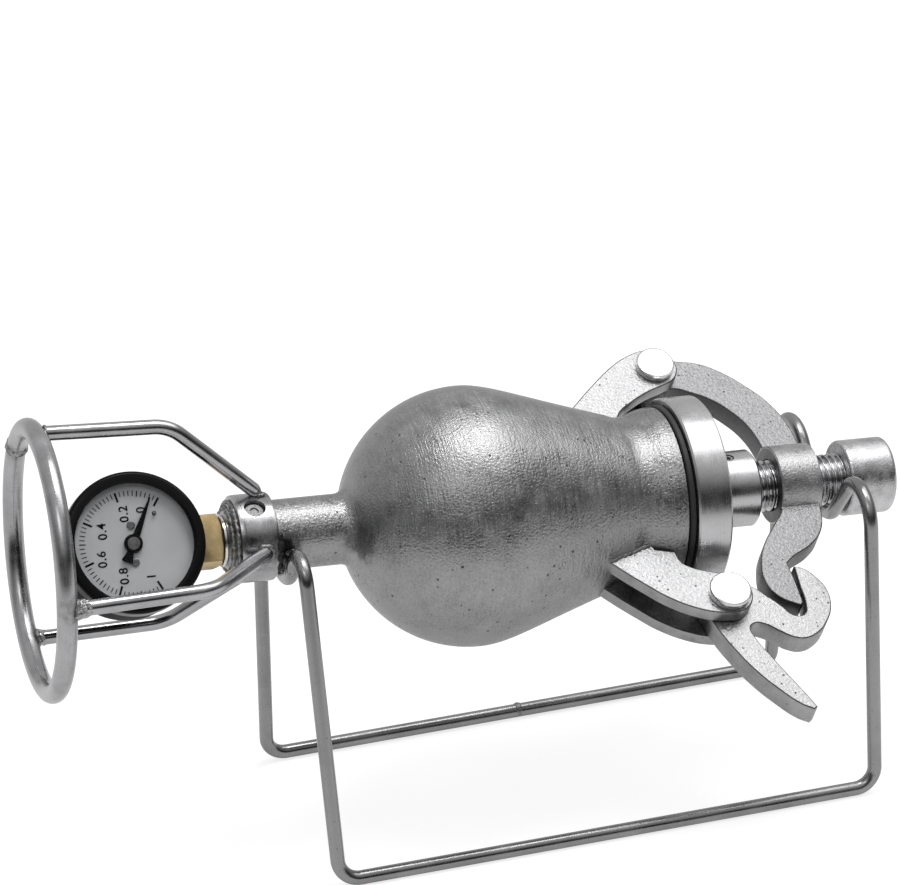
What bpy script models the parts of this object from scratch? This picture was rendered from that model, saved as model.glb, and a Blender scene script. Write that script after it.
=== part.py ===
"""Hand-crank popcorn maker: a pressure vessel that turns in the cradles of a bent-rod stand.

Metres, +Z up. The origin is on the ground in the middle of the stand. +X runs along the
vessel, from the crank wheel to the clamp. The turning assembly is drawn in a frame of its
own: x runs along the vessel's axis from its widest circle, and z lies in the plane of the
clamp's plates, towards the arm's pin. That frame is tilted and turned into the cradles.
"""
import math

import bmesh
import bpy
from mathutils import Matrix, Vector

GAP = 0.0003  # between pieces that touch

# The axis in the stand
AXIS_X = -0.0438  # the vessel's widest circle
AXIS_HEIGHT = 0.1424  # the axis at that circle
AXIS_TILT = math.radians(3.52)  # the mouth end is lower
CLAMP_TURN = math.radians(60.15)  # how far the clamp's plates are turned about the axis

# Vessel
BELLY_RADIUS = 0.0597
NECK_RADIUS = 0.0161
NECK_END = -0.1060
NECK_FILLET = 0.0060
NECK_BORE = 0.0050
CONE_START = 0.0260
CONE_START_RADIUS = 0.0531
CONE_END = 0.0680
WAIST = 0.0750
WAIST_RADIUS = 0.0383
MOUTH = 0.0932
MOUTH_RADIUS = 0.0414
MOUTH_LIP = 0.0030
WALL = 0.0055
MOUTH_WALL = 0.0074

# Stand
ROD_RADIUS = 0.0033
BASE_BEND = 0.0100
LEFT_BASE_X = -0.1286
LEFT_TOP_X = -0.1311
LEFT_BASE_HALF = 0.0645
LEFT_HUMP_HALF = 0.0404
LEFT_HUMP_TOP = 0.1492
LEFT_HUMP_BEND = 0.0110
RIGHT_BASE_X = 0.1304
RIGHT_TOP_X = 0.1318
RIGHT_BASE_HALF = 0.0661
RIGHT_HUMP_HALF = 0.0535
RIGHT_HUMP_BEND = 0.0160
RIGHT_CRADLE_SLOPE = math.radians(48)

# Crank wheel
RING_X = -0.1981
RING_RADIUS = 0.0590
RING_DROP = 0.0008  # how far the ring is welded below the axis, at rest
RING_ROD = 0.0046
SPOKE_ROD = 0.0034
SPOKE_BEND = 0.0200
SPOKES = {  # angle about the axis, place and radius of the bend, place of the end
    "wheel_spoke_top": (math.radians(86.1), -0.1383, 0.0563, -0.0939),
    "wheel_spoke_front": (math.radians(177.8), -0.1322, 0.0551, -0.0974),
    "wheel_spoke_rear": (math.radians(299), -0.1341, 0.0579, -0.0919),
}

# Collar on the neck
COLLAR_LEFT = -0.1106
COLLAR_RIGHT = -0.0930
COLLAR_RADIUS = 0.0200
COLLAR_EDGE = 0.0012
COLLAR_BOSS = 0.0040  # the weld cone on its left face
COLLAR_BOSS_RADII = (0.0178, 0.0115)
COLLAR_HOLE_RADIUS = 0.0049
COLLAR_HOLE_X = -0.1020
COLLAR_HOLE_ANGLE = math.radians(114)
SET_SCREW_LENGTH = 0.0010

# Clamp plates
PLATE = 0.0113
SLOT = 0.0120
LUG_PLATE = 0.0068
PLATE_EDGE = 0.0005
PIN_RADIUS = 0.0050
PIN_HEAD_RADII = {"arm_pin": 0.0091, "trigger_pin": 0.0097}
PIN_HEAD = 0.0034
PIN_TAIL_RADIUS = 0.0075
PIN_TAIL = 0.0025
ARM_PIN_AT = (0.1070, 0.0656)
TRIGGER_PIN_AT = (0.1049, -0.0662)
EYE_RADIUS = 0.0110
ARM_BOSS = (0.1476, 0.1675)
ARM_BOSS_RADIUS = 0.0182
CATCH_PLAY = 0.0007  # between the arm's nose and the trigger's finger
ARM_NOSE = 0.1412  # the nose's flat side
MM = 0.0010  # the unit of the outlines of the plates

# Lid and screw
GASKET = 0.0026
GASKET_OVER = 0.0010  # the gasket and the lid reach past the mouth
GASKET_RADIUS = MOUTH_RADIUS + GASKET_OVER
LID_THICKNESS = 0.0163
LID_OVER = 0.0039
LID_RADIUS = MOUTH_RADIUS + LID_OVER
LID_EDGE = 0.0010
LID_SPIGOT = 0.0050
LID_BOSS_LENGTH = 0.0251
LID_BOSS_RADIUS = 0.0179
SPINDLE_RADIUS = 0.0080
SPINDLE_LENGTH = 0.0180
SPINDLE_GROOVE = 0.0030
SPINDLE_NECK_RADIUS = 0.0060
GRUB_RADIUS = 0.0025
GRUB_ANGLE = math.radians(100)
SCREW_RADIUS = 0.0120
SCREW_HEAD = (0.1821, 0.2054)
SCREW_HEAD_RADIUS = 0.0178
SCREW_HEAD_EDGE = 0.0014

# Gauge: its own z points out of the dial, and its stem lies on the axis
GAUGE_TILT = math.radians(33.5)
CASE_RADIUS = 0.0306
CASE_HOLE = 0.0200  # the length of the cut for the stem
CASE_WALL = 0.0010
CASE_BACK = -0.0100
CASE_RIM = 0.0179
CASE_BEND = 0.0030
BEZEL_OVER = 0.0014  # the bezel over the case, at its side
BEZEL_BACK = 0.0132
BEZEL_FRONT = 0.0212
BEZEL_COVER = 0.0040  # the bezel over the dial, at its rim
WINDOW = 0.0010
DIAL_FACE = 0.0160
DIAL = 0.0006
NEEDLE_SHORT = 0.0085  # the needle's tip inside the case's side
NEEDLE_TAIL = 0.0090
NEEDLE_HUB = 0.0042
NEEDLE_HEIGHT = 0.0012  # over the dial
NEEDLE_THICKNESS = 0.0006
NEEDLE_ANGLE = math.radians(63.5)
NEEDLE_SHAFT = 0.0008
DIAL_SCREW_AT = 0.0084
DIAL_SCREW_HEAD = 0.0019
DIAL_SCREW_SHANK = 0.0010
STEM_RADIUS = 0.0060
STEM_BLOCK = (0.0120, 0.0160, 0.0120)
STEM_BLOCK_X = 0.0160
MOVEMENT = (0.0210, 0.0150, 0.0050)
STOP_PIN_AT = (0.0111, 0.0128)
STOP_PIN_RADIUS = 0.0008
TUBE_RADIUS = 0.0022
TUBE_INSET = 0.0106  # the tube's curve inside the case's side
TUBE_SWEEP = math.radians(265)

# Brass adapter between the gauge and the neck
ADAPTER_FLATS = 0.0220
ADAPTER_LENGTH = 0.0111
ADAPTER_TURNED = (0.0118, 0.0022)  # the turned end's radius, and the length of its slope
WASHER = 0.0015
WASHER_RADIUS = 0.0120
STUB_RADIUS = 0.0080
STUB_LENGTH = 0.0200
PASSAGE_RADIUS = 0.0025

LID_LEFT = MOUTH + GASKET + 2 * GAP
LID_RIGHT = LID_LEFT + LID_THICKNESS
LID_BOSS_END = LID_RIGHT + LID_BOSS_LENGTH
MOUTH_BORE = MOUTH_RADIUS - MOUTH_WALL
SPINDLE_START = LID_BOSS_END - SPINDLE_LENGTH
SHANK_START = LID_BOSS_END + GAP
COLLAR_FACE = COLLAR_LEFT - COLLAR_BOSS
WASHER_LEFT = COLLAR_FACE - GAP - WASHER
ADAPTER_RIGHT = WASHER_LEFT - GAP
ADAPTER_LEFT = ADAPTER_RIGHT - ADAPTER_LENGTH
DIAL_BACK = DIAL_FACE - DIAL
GAUGE_X = ADAPTER_LEFT - GAP - CASE_RADIUS
BEZEL_RADIUS = CASE_RADIUS + BEZEL_OVER
BEZEL_OPENING = CASE_RADIUS - BEZEL_COVER
TUBE_BEND = CASE_RADIUS - TUBE_INSET
NEEDLE_TIP = CASE_RADIUS - NEEDLE_SHORT
PIN_DRILL = 2 * (SLOT + 2 * LUG_PLATE + PIN_HEAD)  # the length of the cuts for the pins
FINGER = ARM_NOSE + CATCH_PLAY


for old in list(bpy.data.objects):
    bpy.data.objects.remove(old)

body = bpy.data.collections.new("popcorn_maker")
cutters = bpy.data.collections.new("cutters")
bpy.context.scene.collection.children.link(body)
bpy.context.scene.collection.children.link(cutters)


def finish(name, colour, roughness, metallic=1.0):
    """A plain surface of one colour."""
    material = bpy.data.materials.new(name)
    material.use_nodes = True
    shader = material.node_tree.nodes["Principled BSDF"]
    shader.inputs["Base Color"].default_value = (*colour, 1.0)
    shader.inputs["Roughness"].default_value = roughness
    shader.inputs["Metallic"].default_value = metallic
    return material


def frame(name, parent=None, location=(0, 0, 0), rotation=(0, 0, 0)):
    """An empty that carries pieces or marks a joint's axis."""
    empty = bpy.data.objects.new(name, None)
    body.objects.link(empty)
    empty.parent = parent
    empty.location = location
    empty.rotation_euler = rotation
    return empty


def place(name, data, parent, material, location=(0, 0, 0), rotation=(0, 0, 0)):
    """A piece of the part."""
    piece = bpy.data.objects.new(name, data)
    body.objects.link(piece)
    piece.parent = parent
    piece.location = location
    piece.rotation_euler = rotation
    piece.data.materials.clear()
    piece.data.materials.append(material)
    return piece


def as_cutter(piece):
    """Takes a piece out of the part, to cut others with."""
    body.objects.unlink(piece)
    cutters.objects.link(piece)
    piece.hide_render = True
    piece.display_type = "WIRE"
    return piece


def boolean(piece, other, operation="DIFFERENCE"):
    modifier = piece.modifiers.new(operation.lower(), "BOOLEAN")
    modifier.operation = operation
    modifier.object = other


def bevel(piece, width, segments=1, angle=50):
    modifier = piece.modifiers.new("edges", "BEVEL")
    modifier.width = width
    modifier.segments = segments
    modifier.limit_method = "ANGLE"
    modifier.angle_limit = math.radians(angle)


def smooth(piece, angle=32):
    piece.data.shade_smooth()
    piece.data.set_sharp_from_angle(angle=math.radians(angle))


def arc(centre, radius, start, end, count):
    """Points on an arc, from one angle to another, both ends included."""
    steps = [start + (end - start) * i / count for i in range(count + 1)]
    return [(centre[0] + radius * math.cos(a), centre[1] + radius * math.sin(a)) for a in steps]


def bezier(start, handle_a, handle_b, end, count):
    """Points on a cubic curve after its start, the end included."""
    points = []
    for i in range(1, count + 1):
        t = i / count
        u = 1 - t
        weights = (u * u * u, 3 * u * u * t, 3 * u * t * t, t * t * t)
        corners = (start, handle_a, handle_b, end)
        points.append(tuple(sum(w * c[k] for w, c in zip(weights, corners)) for k in (0, 1)))
    return points


ALONG = (0, math.pi / 2, 0)  # turns a piece's own z to the frame's x
ACROSS = (-math.pi / 2, 0, 0)  # turns a piece's own z to the frame's y
FLAT = (math.pi / 2, 0, 0)  # lays an outline in the frame's x and z


def turned(name, profile, parent, material, closed, steps=32, rotation=ALONG, location=(0, 0, 0)):
    """A turned piece. The profile's points are (along, radius), down the outer side."""
    mesh = bpy.data.meshes.new(name)
    rim = [(radius, 0, along) for along, radius in profile]
    edges = [(i, i + 1) for i in range(len(rim) - 1)]
    if closed:
        edges.append((len(rim) - 1, 0))
    mesh.from_pydata(rim, edges, [])
    piece = place(name, mesh, parent, material, location, rotation)
    screw = piece.modifiers.new("turn", "SCREW")
    screw.steps = steps
    screw.render_steps = steps
    screw.use_merge_vertices = True
    screw.merge_threshold = 0.00001
    screw.use_smooth_shade = True
    return piece


def rod_along(name, points, radius, parent, material, sides=4, closed=False):
    """A round rod through 3-D points, with flat ends."""
    curve = bpy.data.curves.new(name, "CURVE")
    curve.dimensions = "3D"
    curve.bevel_depth = radius
    curve.bevel_resolution = sides
    curve.use_fill_caps = not closed
    spline = curve.splines.new("POLY")
    spline.points.add(len(points) - 1)
    for point, at in zip(spline.points, points):
        point.co = (*at, 1.0)
    spline.use_cyclic_u = closed
    return place(name, curve, parent, material)


def rounded(corners, closed=False, turn=math.radians(18)):
    """Points of a path whose corners, (point, radius), are bent to that radius."""
    points = []
    count = len(corners)
    for i, (corner, radius) in enumerate(corners):
        at_end = not closed and i in (0, count - 1)
        if at_end:
            points.append(Vector(corner))
            continue
        before = (Vector(corners[i - 1][0]) - Vector(corner)).normalized()
        after = (Vector(corners[(i + 1) % count][0]) - Vector(corner)).normalized()
        half = before.angle(after) / 2
        middle = (before + after).normalized()
        centre = Vector(corner) + middle * (radius / math.sin(half))
        first = Vector(corner) + before * (radius / math.tan(half)) - centre
        bend = math.pi - 2 * half
        axis = before.cross(after).normalized()
        pieces = max(2, round(bend / turn))
        for k in range(pieces + 1):
            points.append(centre + Matrix.Rotation(-bend * k / pieces, 3, axis) @ first)
    return points


def mesh_of(piece):
    """Makes a mesh piece of a curve piece, with its caps welded."""
    bpy.context.view_layer.update()
    depsgraph = bpy.context.evaluated_depsgraph_get()
    mesh = bpy.data.meshes.new_from_object(piece.evaluated_get(depsgraph))
    work = bmesh.new()
    work.from_mesh(mesh)
    bmesh.ops.remove_doubles(work, verts=work.verts, dist=0.00001)
    bmesh.ops.recalc_face_normals(work, faces=work.faces)
    work.to_mesh(mesh)
    work.free()
    name = piece.name
    material = piece.data.materials[0]
    parent, location, rotation = piece.parent, piece.location.copy(), piece.rotation_euler.copy()
    bpy.data.objects.remove(piece)
    return place(name, mesh, parent, material, location, rotation)


def plate(name, outline, thickness, across, parent, material, resolution=3):
    """A flat plate. The outline's points are (x, z, "smooth" or "corner")."""
    curve = bpy.data.curves.new(name, "CURVE")
    curve.dimensions = "2D"
    curve.fill_mode = "BOTH"
    curve.extrude = thickness / 2
    curve.resolution_u = resolution
    spline = curve.splines.new("BEZIER")
    spline.bezier_points.add(len(outline) - 1)
    for point, (x, z, kind) in zip(spline.bezier_points, outline):
        point.co = (x, z, 0)
        handle = "AUTO" if kind == "smooth" else "VECTOR"
        point.handle_left_type = handle
        point.handle_right_type = handle
    spline.use_cyclic_u = True
    piece = place(name, curve, parent, material, (0, across, 0), FLAT)
    piece = mesh_of(piece)
    bevel(piece, PLATE_EDGE)
    smooth(piece)
    return piece


def round_bar(radius, length, sides=32):
    """A round bar about its own z, with flat ends."""
    mesh = bpy.data.meshes.new("round_bar")
    work = bmesh.new()
    bmesh.ops.create_cone(work, cap_ends=True, segments=sides, radius1=radius, radius2=radius,
                          depth=length)
    work.to_mesh(mesh)
    work.free()
    return mesh


def drill(name, radius, length, parent, location, rotation, sides=32):
    """A round cutter about its own z, centred on its place."""
    return as_cutter(place(name, round_bar(radius, length, sides), parent, steel_satin, location, rotation))


def block(name, size, parent, material, location=(0, 0, 0)):
    mesh = bpy.data.meshes.new(name)
    work = bmesh.new()
    bmesh.ops.create_cube(work, size=1.0, matrix=Matrix.Diagonal((*size, 1.0)))
    work.to_mesh(mesh)
    work.free()
    return place(name, mesh, parent, material, location)


def on_axis(angle, radius, along):
    """A point of the turning assembly's frame, by its angle about the axis in the stand."""
    local = angle + CLAMP_TURN
    return Vector((along, radius * math.cos(local), radius * math.sin(local)))


steel_satin = finish("steel_satin", (0.62, 0.62, 0.63), 0.34)
steel_polished = finish("steel_polished", (0.72, 0.72, 0.73), 0.18)
steel_plate = finish("steel_plate", (0.66, 0.66, 0.67), 0.42)
cast_grey = finish("cast_grey", (0.50, 0.50, 0.51), 0.46)
brass = finish("brass", (0.62, 0.48, 0.26), 0.40)
black_paint = finish("black_paint", (0.02, 0.02, 0.02), 0.30, 0.0)
dark_rubber = finish("dark_rubber", (0.035, 0.035, 0.035), 0.70, 0.0)
dial_white = finish("dial_white", (0.80, 0.80, 0.82), 0.50, 0.0)
clear = finish("clear_plastic", (0.95, 0.95, 0.95), 0.05, 0.0)

axis_frame = frame("drum_axis", None, (AXIS_X, 0, AXIS_HEIGHT), (-CLAMP_TURN, AXIS_TILT, 0))


def height_at(x):
    """The axis's height over the ground at a place along the stand."""
    return AXIS_HEIGHT - (x - AXIS_X) * math.tan(AXIS_TILT)


def left_end():
    """Half of the left end frame, from the base corner to the middle of its cradle."""
    seat = NECK_RADIUS + GAP + ROD_RADIUS
    floor = height_at(LEFT_TOP_X) - seat
    return [
        ((LEFT_BASE_X, LEFT_BASE_HALF, ROD_RADIUS), BASE_BEND),
        ((LEFT_TOP_X, LEFT_HUMP_HALF, LEFT_HUMP_TOP), LEFT_HUMP_BEND),
        ((LEFT_TOP_X, seat, LEFT_HUMP_TOP), (LEFT_HUMP_HALF - seat) - LEFT_HUMP_BEND * 0.88),
        ((LEFT_TOP_X, seat, floor), seat * 0.99),
    ]


def right_end():
    """Half of the right end frame: its cradle is a V that the screw's shank lies in."""
    seat = SCREW_RADIUS + GAP + ROD_RADIUS
    centre = height_at(RIGHT_TOP_X)
    slope = RIGHT_CRADLE_SLOPE
    foot = seat * math.tan(slope / 2)
    top = centre + (RIGHT_HUMP_HALF * math.sin(slope) - seat) / math.cos(slope)
    return [
        ((RIGHT_BASE_X, RIGHT_BASE_HALF, ROD_RADIUS), BASE_BEND),
        ((RIGHT_TOP_X, RIGHT_HUMP_HALF, top), RIGHT_HUMP_BEND),
        ((RIGHT_TOP_X, foot, centre - seat), seat * 0.99),
    ]


def across(half):
    """The same corners on the front side, in reverse."""
    return [((x, -y, z), radius) for (x, y, z), radius in reversed(half)]


left, right = left_end(), right_end()
loop = left + across(left) + list(reversed(across(right))) + list(reversed(right))
stand_rod = rod_along("stand_rod", rounded(loop, closed=True), ROD_RADIUS, None, steel_satin,
                      sides=3, closed=True)
stand_rod = mesh_of(stand_rod)
smooth(stand_rod, 50)


def belly_angle():
    """Where the neck's fillet leaves the belly's sphere."""
    rise = NECK_RADIUS + NECK_FILLET
    return math.pi - math.asin(rise / (BELLY_RADIUS + NECK_FILLET))


def outer_profile(grow=0.0):
    """The vessel's outer side from its mouth to the end of its neck."""
    slope = (CONE_START_RADIUS - WAIST_RADIUS) / (WAIST - CONE_START)
    cone_end_radius = CONE_START_RADIUS - slope * (CONE_END - CONE_START)
    lip = MOUTH - MOUTH_LIP
    points = [(MOUTH, MOUTH_RADIUS + grow), (lip, MOUTH_RADIUS + grow)]
    points += bezier(
        (lip, MOUTH_RADIUS + grow),
        (lip - 0.005, MOUTH_RADIUS + grow),
        (WAIST + 0.006, WAIST_RADIUS + grow),
        (WAIST, WAIST_RADIUS + grow), 4)
    points += bezier(
        (WAIST, WAIST_RADIUS + grow),
        (WAIST - 0.003, WAIST_RADIUS + grow),
        (CONE_END + 0.002, cone_end_radius - 0.002 * slope + grow),
        (CONE_END, cone_end_radius + grow), 2)
    points += bezier(
        (CONE_END, cone_end_radius + grow),
        (CONE_START, CONE_START_RADIUS + grow),
        (0.0130, BELLY_RADIUS + grow),
        (0.0, BELLY_RADIUS + grow), 6)
    turn = belly_angle()
    points += arc((0, 0), BELLY_RADIUS + grow, math.pi / 2, turn, 7)[1:]
    fillet = (math.cos(turn) * (BELLY_RADIUS + NECK_FILLET), NECK_RADIUS + NECK_FILLET)
    points += arc(fillet, NECK_FILLET - grow, turn - math.pi, -math.pi / 2, 3)[1:]
    points.append((NECK_END, NECK_RADIUS + grow))
    return points


def inner_profile():
    """The chamber, from the end of the neck back to the mouth."""
    radius = BELLY_RADIUS - WALL
    slope = (CONE_START_RADIUS - WAIST_RADIUS) / (WAIST - CONE_START)
    start = math.pi - math.asin(NECK_BORE / radius)
    socket = STUB_RADIUS + GAP
    bottom = ADAPTER_RIGHT + STUB_LENGTH + 0.0010
    cone_end = (CONE_END, CONE_START_RADIUS - slope * (CONE_END - CONE_START) - WALL)
    points = [(NECK_END, socket), (bottom, socket), (bottom, NECK_BORE)]
    points += arc((0, 0), radius, start, math.pi / 2, 6)
    points += bezier((0, radius), (0.0130, radius), (CONE_START, CONE_START_RADIUS - WALL), cone_end, 4)
    points += [(WAIST, WAIST_RADIUS - WALL), (MOUTH - MOUTH_LIP, MOUTH_BORE), (MOUTH, MOUTH_BORE)]
    return points


# The vessel, and the room that pieces welded to it leave
vessel = turned("vessel", outer_profile() + inner_profile(), axis_frame, cast_grey, True)
room = [(MOUTH, 0.0)] + outer_profile(GAP) + [(NECK_END, 0.0)]
vessel_room = as_cutter(turned("vessel_room", room, axis_frame, cast_grey, False))

# The collar, with the weld cone on its face and the set screw's hole
neck_seat = NECK_RADIUS + GAP
stub_seat = STUB_RADIUS + GAP
collar = turned("collar", [
    (COLLAR_RIGHT, COLLAR_RADIUS - COLLAR_EDGE),
    (COLLAR_RIGHT - COLLAR_EDGE, COLLAR_RADIUS),
    (COLLAR_LEFT + COLLAR_EDGE, COLLAR_RADIUS),
    (COLLAR_LEFT, COLLAR_RADIUS - COLLAR_EDGE),
    (COLLAR_LEFT, COLLAR_BOSS_RADII[0]),
    (COLLAR_FACE, COLLAR_BOSS_RADII[1]),
    (COLLAR_FACE, stub_seat),
    (NECK_END - GAP, stub_seat),
    (NECK_END - GAP, neck_seat),
    (COLLAR_RIGHT, neck_seat),
], axis_frame, steel_satin, True, 28)
hole_turn = COLLAR_HOLE_ANGLE + CLAMP_TURN - math.pi / 2
hole = drill("collar_hole", COLLAR_HOLE_RADIUS, COLLAR_RADIUS, axis_frame,
             on_axis(COLLAR_HOLE_ANGLE, neck_seat + COLLAR_RADIUS / 2, COLLAR_HOLE_X), (hole_turn, 0, 0), 24)
boolean(collar, hole)
set_screw = turned("collar_set_screw", [
    (neck_seat + SET_SCREW_LENGTH, 0.0),
    (neck_seat + SET_SCREW_LENGTH, COLLAR_HOLE_RADIUS - GAP),
    (neck_seat + GAP, COLLAR_HOLE_RADIUS - GAP),
    (neck_seat + GAP, 0.0),
], axis_frame, steel_satin, False, 24, (hole_turn, 0, 0), (COLLAR_HOLE_X, 0, 0))


# The crank wheel: its spokes are cut to lie against the ring and the collar
def on_ring(angle, along=RING_X):
    """A point of the ring's centreline, which lies a little low."""
    return on_axis(angle, RING_RADIUS, along) + on_axis(-math.pi / 2, RING_DROP, 0)


ring_points = [on_ring(math.tau * i / 36) for i in range(36)]
wheel_ring = rod_along("wheel_ring", ring_points, RING_ROD, axis_frame, steel_satin, 2, closed=True)
wheel_ring = mesh_of(wheel_ring)
smooth(wheel_ring, 50)
ring_room = rod_along("ring_room", ring_points, RING_ROD + GAP, axis_frame, steel_satin, 2, closed=True)
ring_room = as_cutter(mesh_of(ring_room))
collar_room = drill("collar_room", COLLAR_RADIUS + GAP, 0.060, axis_frame,
                    (COLLAR_RIGHT - 0.010, 0, 0), ALONG)
for name, (angle, bend_x, bend_radius, end_x) in SPOKES.items():
    path = [
        (on_ring(angle, RING_X + RING_ROD * 0.6), 0),
        (on_axis(angle, bend_radius, bend_x), SPOKE_BEND),
        (on_axis(angle, COLLAR_RADIUS * 0.75, end_x + COLLAR_RADIUS * 0.12), 0),
    ]
    spoke = mesh_of(rod_along(name, rounded(path), SPOKE_ROD, axis_frame, steel_polished, 2))
    smooth(spoke, 50)
    boolean(spoke, ring_room)
    boolean(spoke, collar_room)


def millimetres(points, kind="smooth"):
    return [(x * MM, z * MM, kind) for x, z in points]


def eye(at, start, end, count, radius=EYE_RADIUS):
    """The round end of a plate about its pin."""
    return [(x, z, "smooth") for x, z in arc(at, radius, math.radians(start), math.radians(end), count)]


UPPER_LUG = (
    millimetres([(60.0, 30.0), (57.5, 43.0)], "corner")
    + millimetres([(61.6, 46.8), (73.5, 57.8), (85.6, 67.8), (94.2, 73.0)])
    + eye(ARM_PIN_AT, 105, -75, 7)
    + millimetres([(100.4, 51.5), (90.4, 46.2), (82.5, 40.3)])
    + millimetres([(78.0, 30.0)], "corner"))
LOWER_LUG = (
    millimetres([(76.0, -30.0)], "corner")
    + millimetres([(77.2, -38.2), (86.3, -40.6)], "corner")
    + millimetres([(87.6, -46.3), (90.6, -49.3), (96.5, -52.2)])
    + eye(TRIGGER_PIN_AT, 85, -105, 7)
    + millimetres([(97.2, -76.2), (87.9, -72.8), (76.4, -65.5), (67.8, -57.4), (57.0, -46.0)])
    + millimetres([(52.0, -40.0), (56.0, -30.0)], "corner"))
nose, finger = ARM_NOSE / MM, FINGER / MM
ARM = (
    eye(ARM_PIN_AT, -50, -285, 8)
    + millimetres([(121.5, 73.4), (132.3, 70.7), (142.0, 64.5), (151.5, 55.0), (159.2, 44.8),
                   (164.6, 32.1), (166.6, 18.9), (166.9, 0.0), (166.3, -17.9), (162.7, -31.4),
                   (155.4, -39.3), (144.6, -45.2)])
    + millimetres([(140.4, -48.4)], "corner")
    + millimetres([(nose - 0.1, -59.5)])
    + millimetres([(nose, -71.0), (139.4, -72.3)], "corner")
    + millimetres([(130.4, -66.0), (126.8, -57.6), (128.3, -45.8), (132.7, -36.5), (140.6, -26.4),
                   (147.2, -17.6), (148.4, 0.0), (148.3, 18.7), (144.6, 32.5), (138.9, 41.5),
                   (133.1, 47.7), (125.4, 52.8)]))
TRIGGER = (
    eye(TRIGGER_PIN_AT, 200, 62, 6)
    + millimetres([(119.3, -59.0), (125.6, -65.6), (130.5, -71.5), (133.5, -76.1), (136.6, -77.7),
                   (140.3, -76.6), (finger, -72.4)])
    + millimetres([(finger + 0.5, -61.0)])
    + millimetres([(finger + 1.0, -50.5)], "corner")
    + millimetres([(147.0, -52.2), (151.7, -57.9), (154.5, -64.8), (153.7, -74.4), (149.7, -81.7),
                   (143.2, -87.9), (136.2, -90.3), (130.6, -88.8), (125.2, -84.9), (119.9, -80.6),
                   (115.6, -79.2), (112.4, -81.2), (112.6, -85.5), (117.6, -98.2), (122.8, -110.0),
                   (127.7, -120.7)])
    + millimetres([(130.3, -127.0), (128.5, -128.3)], "corner")
    + millimetres([(123.5, -125.1), (115.4, -115.9), (107.8, -104.9), (101.0, -91.3), (96.6, -79.5)]))

# The two forks
lug_centre = SLOT / 2 + LUG_PLATE / 2
for name, outline, at in (("upper_lug", UPPER_LUG, ARM_PIN_AT), ("lower_lug", LOWER_LUG, TRIGGER_PIN_AT)):
    pin_hole = drill(name + "_hole", PIN_RADIUS + GAP, PIN_DRILL, axis_frame, (at[0], 0, at[1]), ACROSS, 24)
    for side, offset in (("_front", -lug_centre), ("_rear", lug_centre)):
        lug = plate(name + side, outline, LUG_PLATE, offset, axis_frame, steel_plate, 2)
        boolean(lug, vessel_room)
        boolean(lug, pin_hole)

# The arm with its threaded boss
clamp_arm = plate("clamp_arm", ARM, PLATE, 0, axis_frame, steel_plate, 2)
boss_length = ARM_BOSS[1] - ARM_BOSS[0]
arm_boss = turned("arm_boss", [
    (ARM_BOSS[1], 0.0),
    (ARM_BOSS[1], ARM_BOSS_RADIUS - PLATE_EDGE),
    (ARM_BOSS[1] - PLATE_EDGE, ARM_BOSS_RADIUS),
    (ARM_BOSS[0] + PLATE_EDGE, ARM_BOSS_RADIUS),
    (ARM_BOSS[0], ARM_BOSS_RADIUS - PLATE_EDGE),
    (ARM_BOSS[0], 0.0),
], axis_frame, steel_plate, False, 24)
boolean(clamp_arm, as_cutter(arm_boss), "UNION")
screw_hole = drill("screw_hole", SCREW_RADIUS + GAP, boss_length * 2, axis_frame,
                   (ARM_BOSS[0] + boss_length / 2, 0, 0), ALONG)
boolean(clamp_arm, screw_hole)
arm_hole = drill("arm_hole", PIN_RADIUS + GAP, PIN_DRILL, axis_frame, (ARM_PIN_AT[0], 0, ARM_PIN_AT[1]),
                 ACROSS, 24)
boolean(clamp_arm, arm_hole)

# The trigger, in a frame on its pin
trigger_frame = frame("trigger_hinge", axis_frame, (TRIGGER_PIN_AT[0], 0, TRIGGER_PIN_AT[1]))
own = [(x - TRIGGER_PIN_AT[0], z - TRIGGER_PIN_AT[1], kind) for x, z, kind in TRIGGER]
trigger = plate("trigger", own, PLATE, 0, trigger_frame, steel_plate, 2)
boolean(trigger, drill("trigger_hole", PIN_RADIUS + GAP, PIN_DRILL, trigger_frame, (0, 0, 0), ACROSS, 24))

# The pins, riveted at the back
fork_half = SLOT / 2 + LUG_PLATE + GAP
for name, at in (("arm_pin", ARM_PIN_AT), ("trigger_pin", TRIGGER_PIN_AT)):
    head = PIN_HEAD_RADII[name]
    turned(name, [
        (fork_half + PIN_TAIL, 0.0),
        (fork_half + PIN_TAIL, PIN_TAIL_RADIUS - 0.0008),
        (fork_half + PIN_TAIL - 0.0008, PIN_TAIL_RADIUS),
        (fork_half, PIN_TAIL_RADIUS),
        (fork_half, PIN_RADIUS),
        (-fork_half, PIN_RADIUS),
        (-fork_half, head),
        (-fork_half - PIN_HEAD + 0.0006, head),
        (-fork_half - PIN_HEAD, head - 0.0006),
        (-fork_half - PIN_HEAD, 0.0),
    ], axis_frame, steel_polished, False, 20, ACROSS, (at[0], 0, at[1]))

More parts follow.
